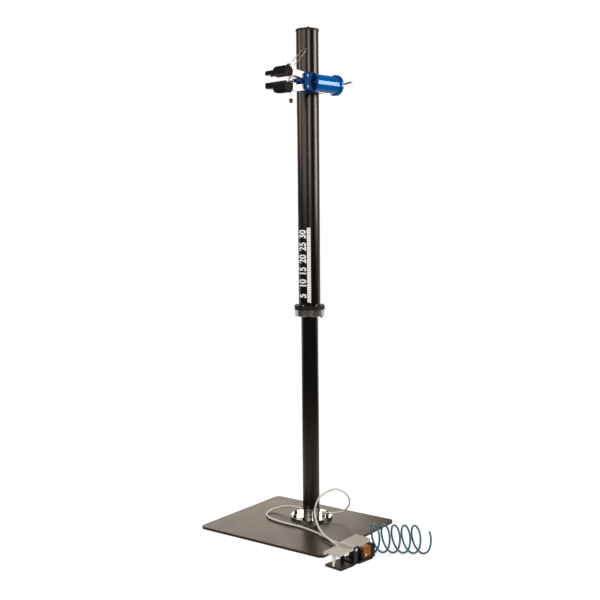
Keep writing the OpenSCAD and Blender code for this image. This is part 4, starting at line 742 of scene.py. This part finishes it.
def backdrop_finish():
    f = Finish("pale_floor", (0.75, 0.75, 0.75), 0.9)
    x, y, z = f.parts()
    radius = (x * x + y * y) ** 0.5
    far = f.step(radius, 1.2, 2.6)
    behind_it = f.step(y * BACKDROP_Y - x * -BACKDROP_X, 1.0, 2.6)
    plain = f.node("ShaderNodeBsdfDiffuse", {}, (0.75, 0.75, 0.75, 1))
    grey = f.node("ShaderNodeBsdfDiffuse", {}, (0.42, 0.42, 0.42, 1))
    glow = f.node("ShaderNodeEmission", {}, (1, 1, 1, 1), 0.62)
    paper = f.node("ShaderNodeAddShader", {}, grey, glow)
    white = f.node("ShaderNodeEmission", {}, (1, 1, 1, 1), 1.0)
    shown = f.node("ShaderNodeMixShader", {}, far, paper, white)
    near = 1.0 - f.step(radius, 1.1, 2.2)
    dim = f.node("ShaderNodeMixShader", {}, near, f.node("ShaderNodeEmission", {}, (1, 1, 1, 1), 0.05),
                 f.node("ShaderNodeEmission", {}, (1, 0.93, 0.86, 1), 0.95))
    path = f.tree.nodes.new("ShaderNodeLightPath")
    mirrored = Sock(f, path.outputs["Is Glossy Ray"]) * (1.0 - behind_it)
    shown = f.node("ShaderNodeMixShader", {}, mirrored, shown, dim)
    f.surface(f.node("ShaderNodeMixShader", {}, f.rays(), plain, shown))
    return f.material


floor_data = bpy.data.meshes.new("floor")
work = bmesh.new()
bmesh.ops.create_grid(work, x_segments=1, y_segments=1, size=30)
work.to_mesh(floor_data)
work.free()
floor = bpy.data.objects.new("floor", floor_data)
bpy.context.scene.collection.objects.link(floor)
floor.data.materials.append(backdrop_finish())
print("floor ready")

# %% [markdown]
# One tall softbox stands far to the right, a little behind the stand. It draws the bright upright
# stripe on the upper tube and the long streak on the blue head. A weaker one by the camera gives the
# faint middle stripe. A low one behind on the left is mirrored in the plate's left half. A broad one
# in front gives reflections only and adds no diffuse light. Two more, from the left and from above,
# fill in, and the top one is kept out of the reflections. That makes six lamps, and none of them is
# seen by the camera itself.

# %% Lamps


def lamp(name, place, target, width, height, watts, colour=(1, 1, 1)):
    data = bpy.data.lights.new(name, "AREA")
    data.shape = "RECTANGLE"
    data.size, data.size_y, data.energy, data.color = width, height, watts, colour
    it = bpy.data.objects.new(name, data)
    it.visible_camera = False
    it.location = place
    it.rotation_euler = (Vector(target) - Vector(place)).to_track_quat("-Z", "Y").to_euler()
    bpy.context.scene.collection.objects.link(it)
    return it


lamp("right_softbox", (2.60, 1.60, 2.15), (0, 0, 1.8), 1.3, 1.7, 82, (1.0, 0.98, 0.95))
lamp("camera_softbox", (3.87, -3.08, 2.3), (0, 0, 1.8), 1.5, 1.6, 64, (1.0, 0.93, 0.88))
lamp("left_softbox", (-2.9, -2.3, 2.4), (0, 0, 1.9), 1.8, 1.4, 34, (1.0, 0.93, 0.88))
front = lamp("front_softbox", (-0.3, -3.8, 2.4), (0, 0, 1.8), 3.0, 2.0, 64, (1.0, 0.93, 0.88))
front.visible_diffuse = False
lamp("low_softbox", (-3.0, 3.0, 1.3), (0, 0, 0.3), 2.4, 1.6, 32, (1.0, 0.88, 0.73))
top = lamp("top_softbox", (0.2, -0.6, 4.4), (0, 0, 0), 3.0, 3.0, 60)
top.visible_glossy = False

# %% [markdown]
# The room is white to the camera and through glass. A mirror sees the white backdrop behind the stand
# and a darker room on the camera's side, which is what gives polished metal its contrast.

# %% The room
world = bpy.data.worlds.new("studio")
bpy.context.scene.world = world
world.use_nodes = True
tree = world.node_tree


def room(kind, *values, out=0, **settings):
    n = tree.nodes.new(kind)
    for key, value in settings.items():
        setattr(n, key, value)
    for i, value in enumerate(values):
        if isinstance(value, bpy.types.NodeSocket):
            tree.links.new(value, n.inputs[i])
        else:
            n.inputs[i].default_value = value
    return n.outputs[out]


rays = tree.nodes.new("ShaderNodeLightPath")
away = room("ShaderNodeVectorMath", room("ShaderNodeTexCoord"),
            (BACKDROP_X, BACKDROP_Y, 0.05), out=1, operation="DOT_PRODUCT")
backdrop = room("ShaderNodeMapRange", away, 0.3, 0.85, 0.05, 0.5,
                interpolation_type="SMOOTHSTEP")
upward = room("ShaderNodeVectorMath", room("ShaderNodeTexCoord"), (0, 0, 1), out=1,
              operation="DOT_PRODUCT")
fall = room("ShaderNodeMapRange", upward, 0.2, 0.45, 1.0, 0.25)
backdrop = room("ShaderNodeMath", backdrop, fall, operation="MULTIPLY")
mirror = room("ShaderNodeMath", rays.outputs["Is Glossy Ray"], backdrop, operation="MULTIPLY")
dull = room("ShaderNodeMath", rays.outputs["Is Diffuse Ray"], 0.55, operation="MULTIPLY")
seen = room("ShaderNodeMath", rays.outputs["Is Camera Ray"], rays.outputs["Is Transmission Ray"],
            operation="MAXIMUM")
level = room("ShaderNodeMath", room("ShaderNodeMath", mirror, dull, operation="MAXIMUM"), seen,
             operation="MAXIMUM")
back = tree.nodes["Background"]
back.inputs["Color"].default_value = (1, 1, 1, 1)
tree.links.new(level, back.inputs["Strength"])
bpy.context.scene.view_settings.view_transform = "Standard"
print("room ready")

# %% The final update
bpy.context.view_layer.update()
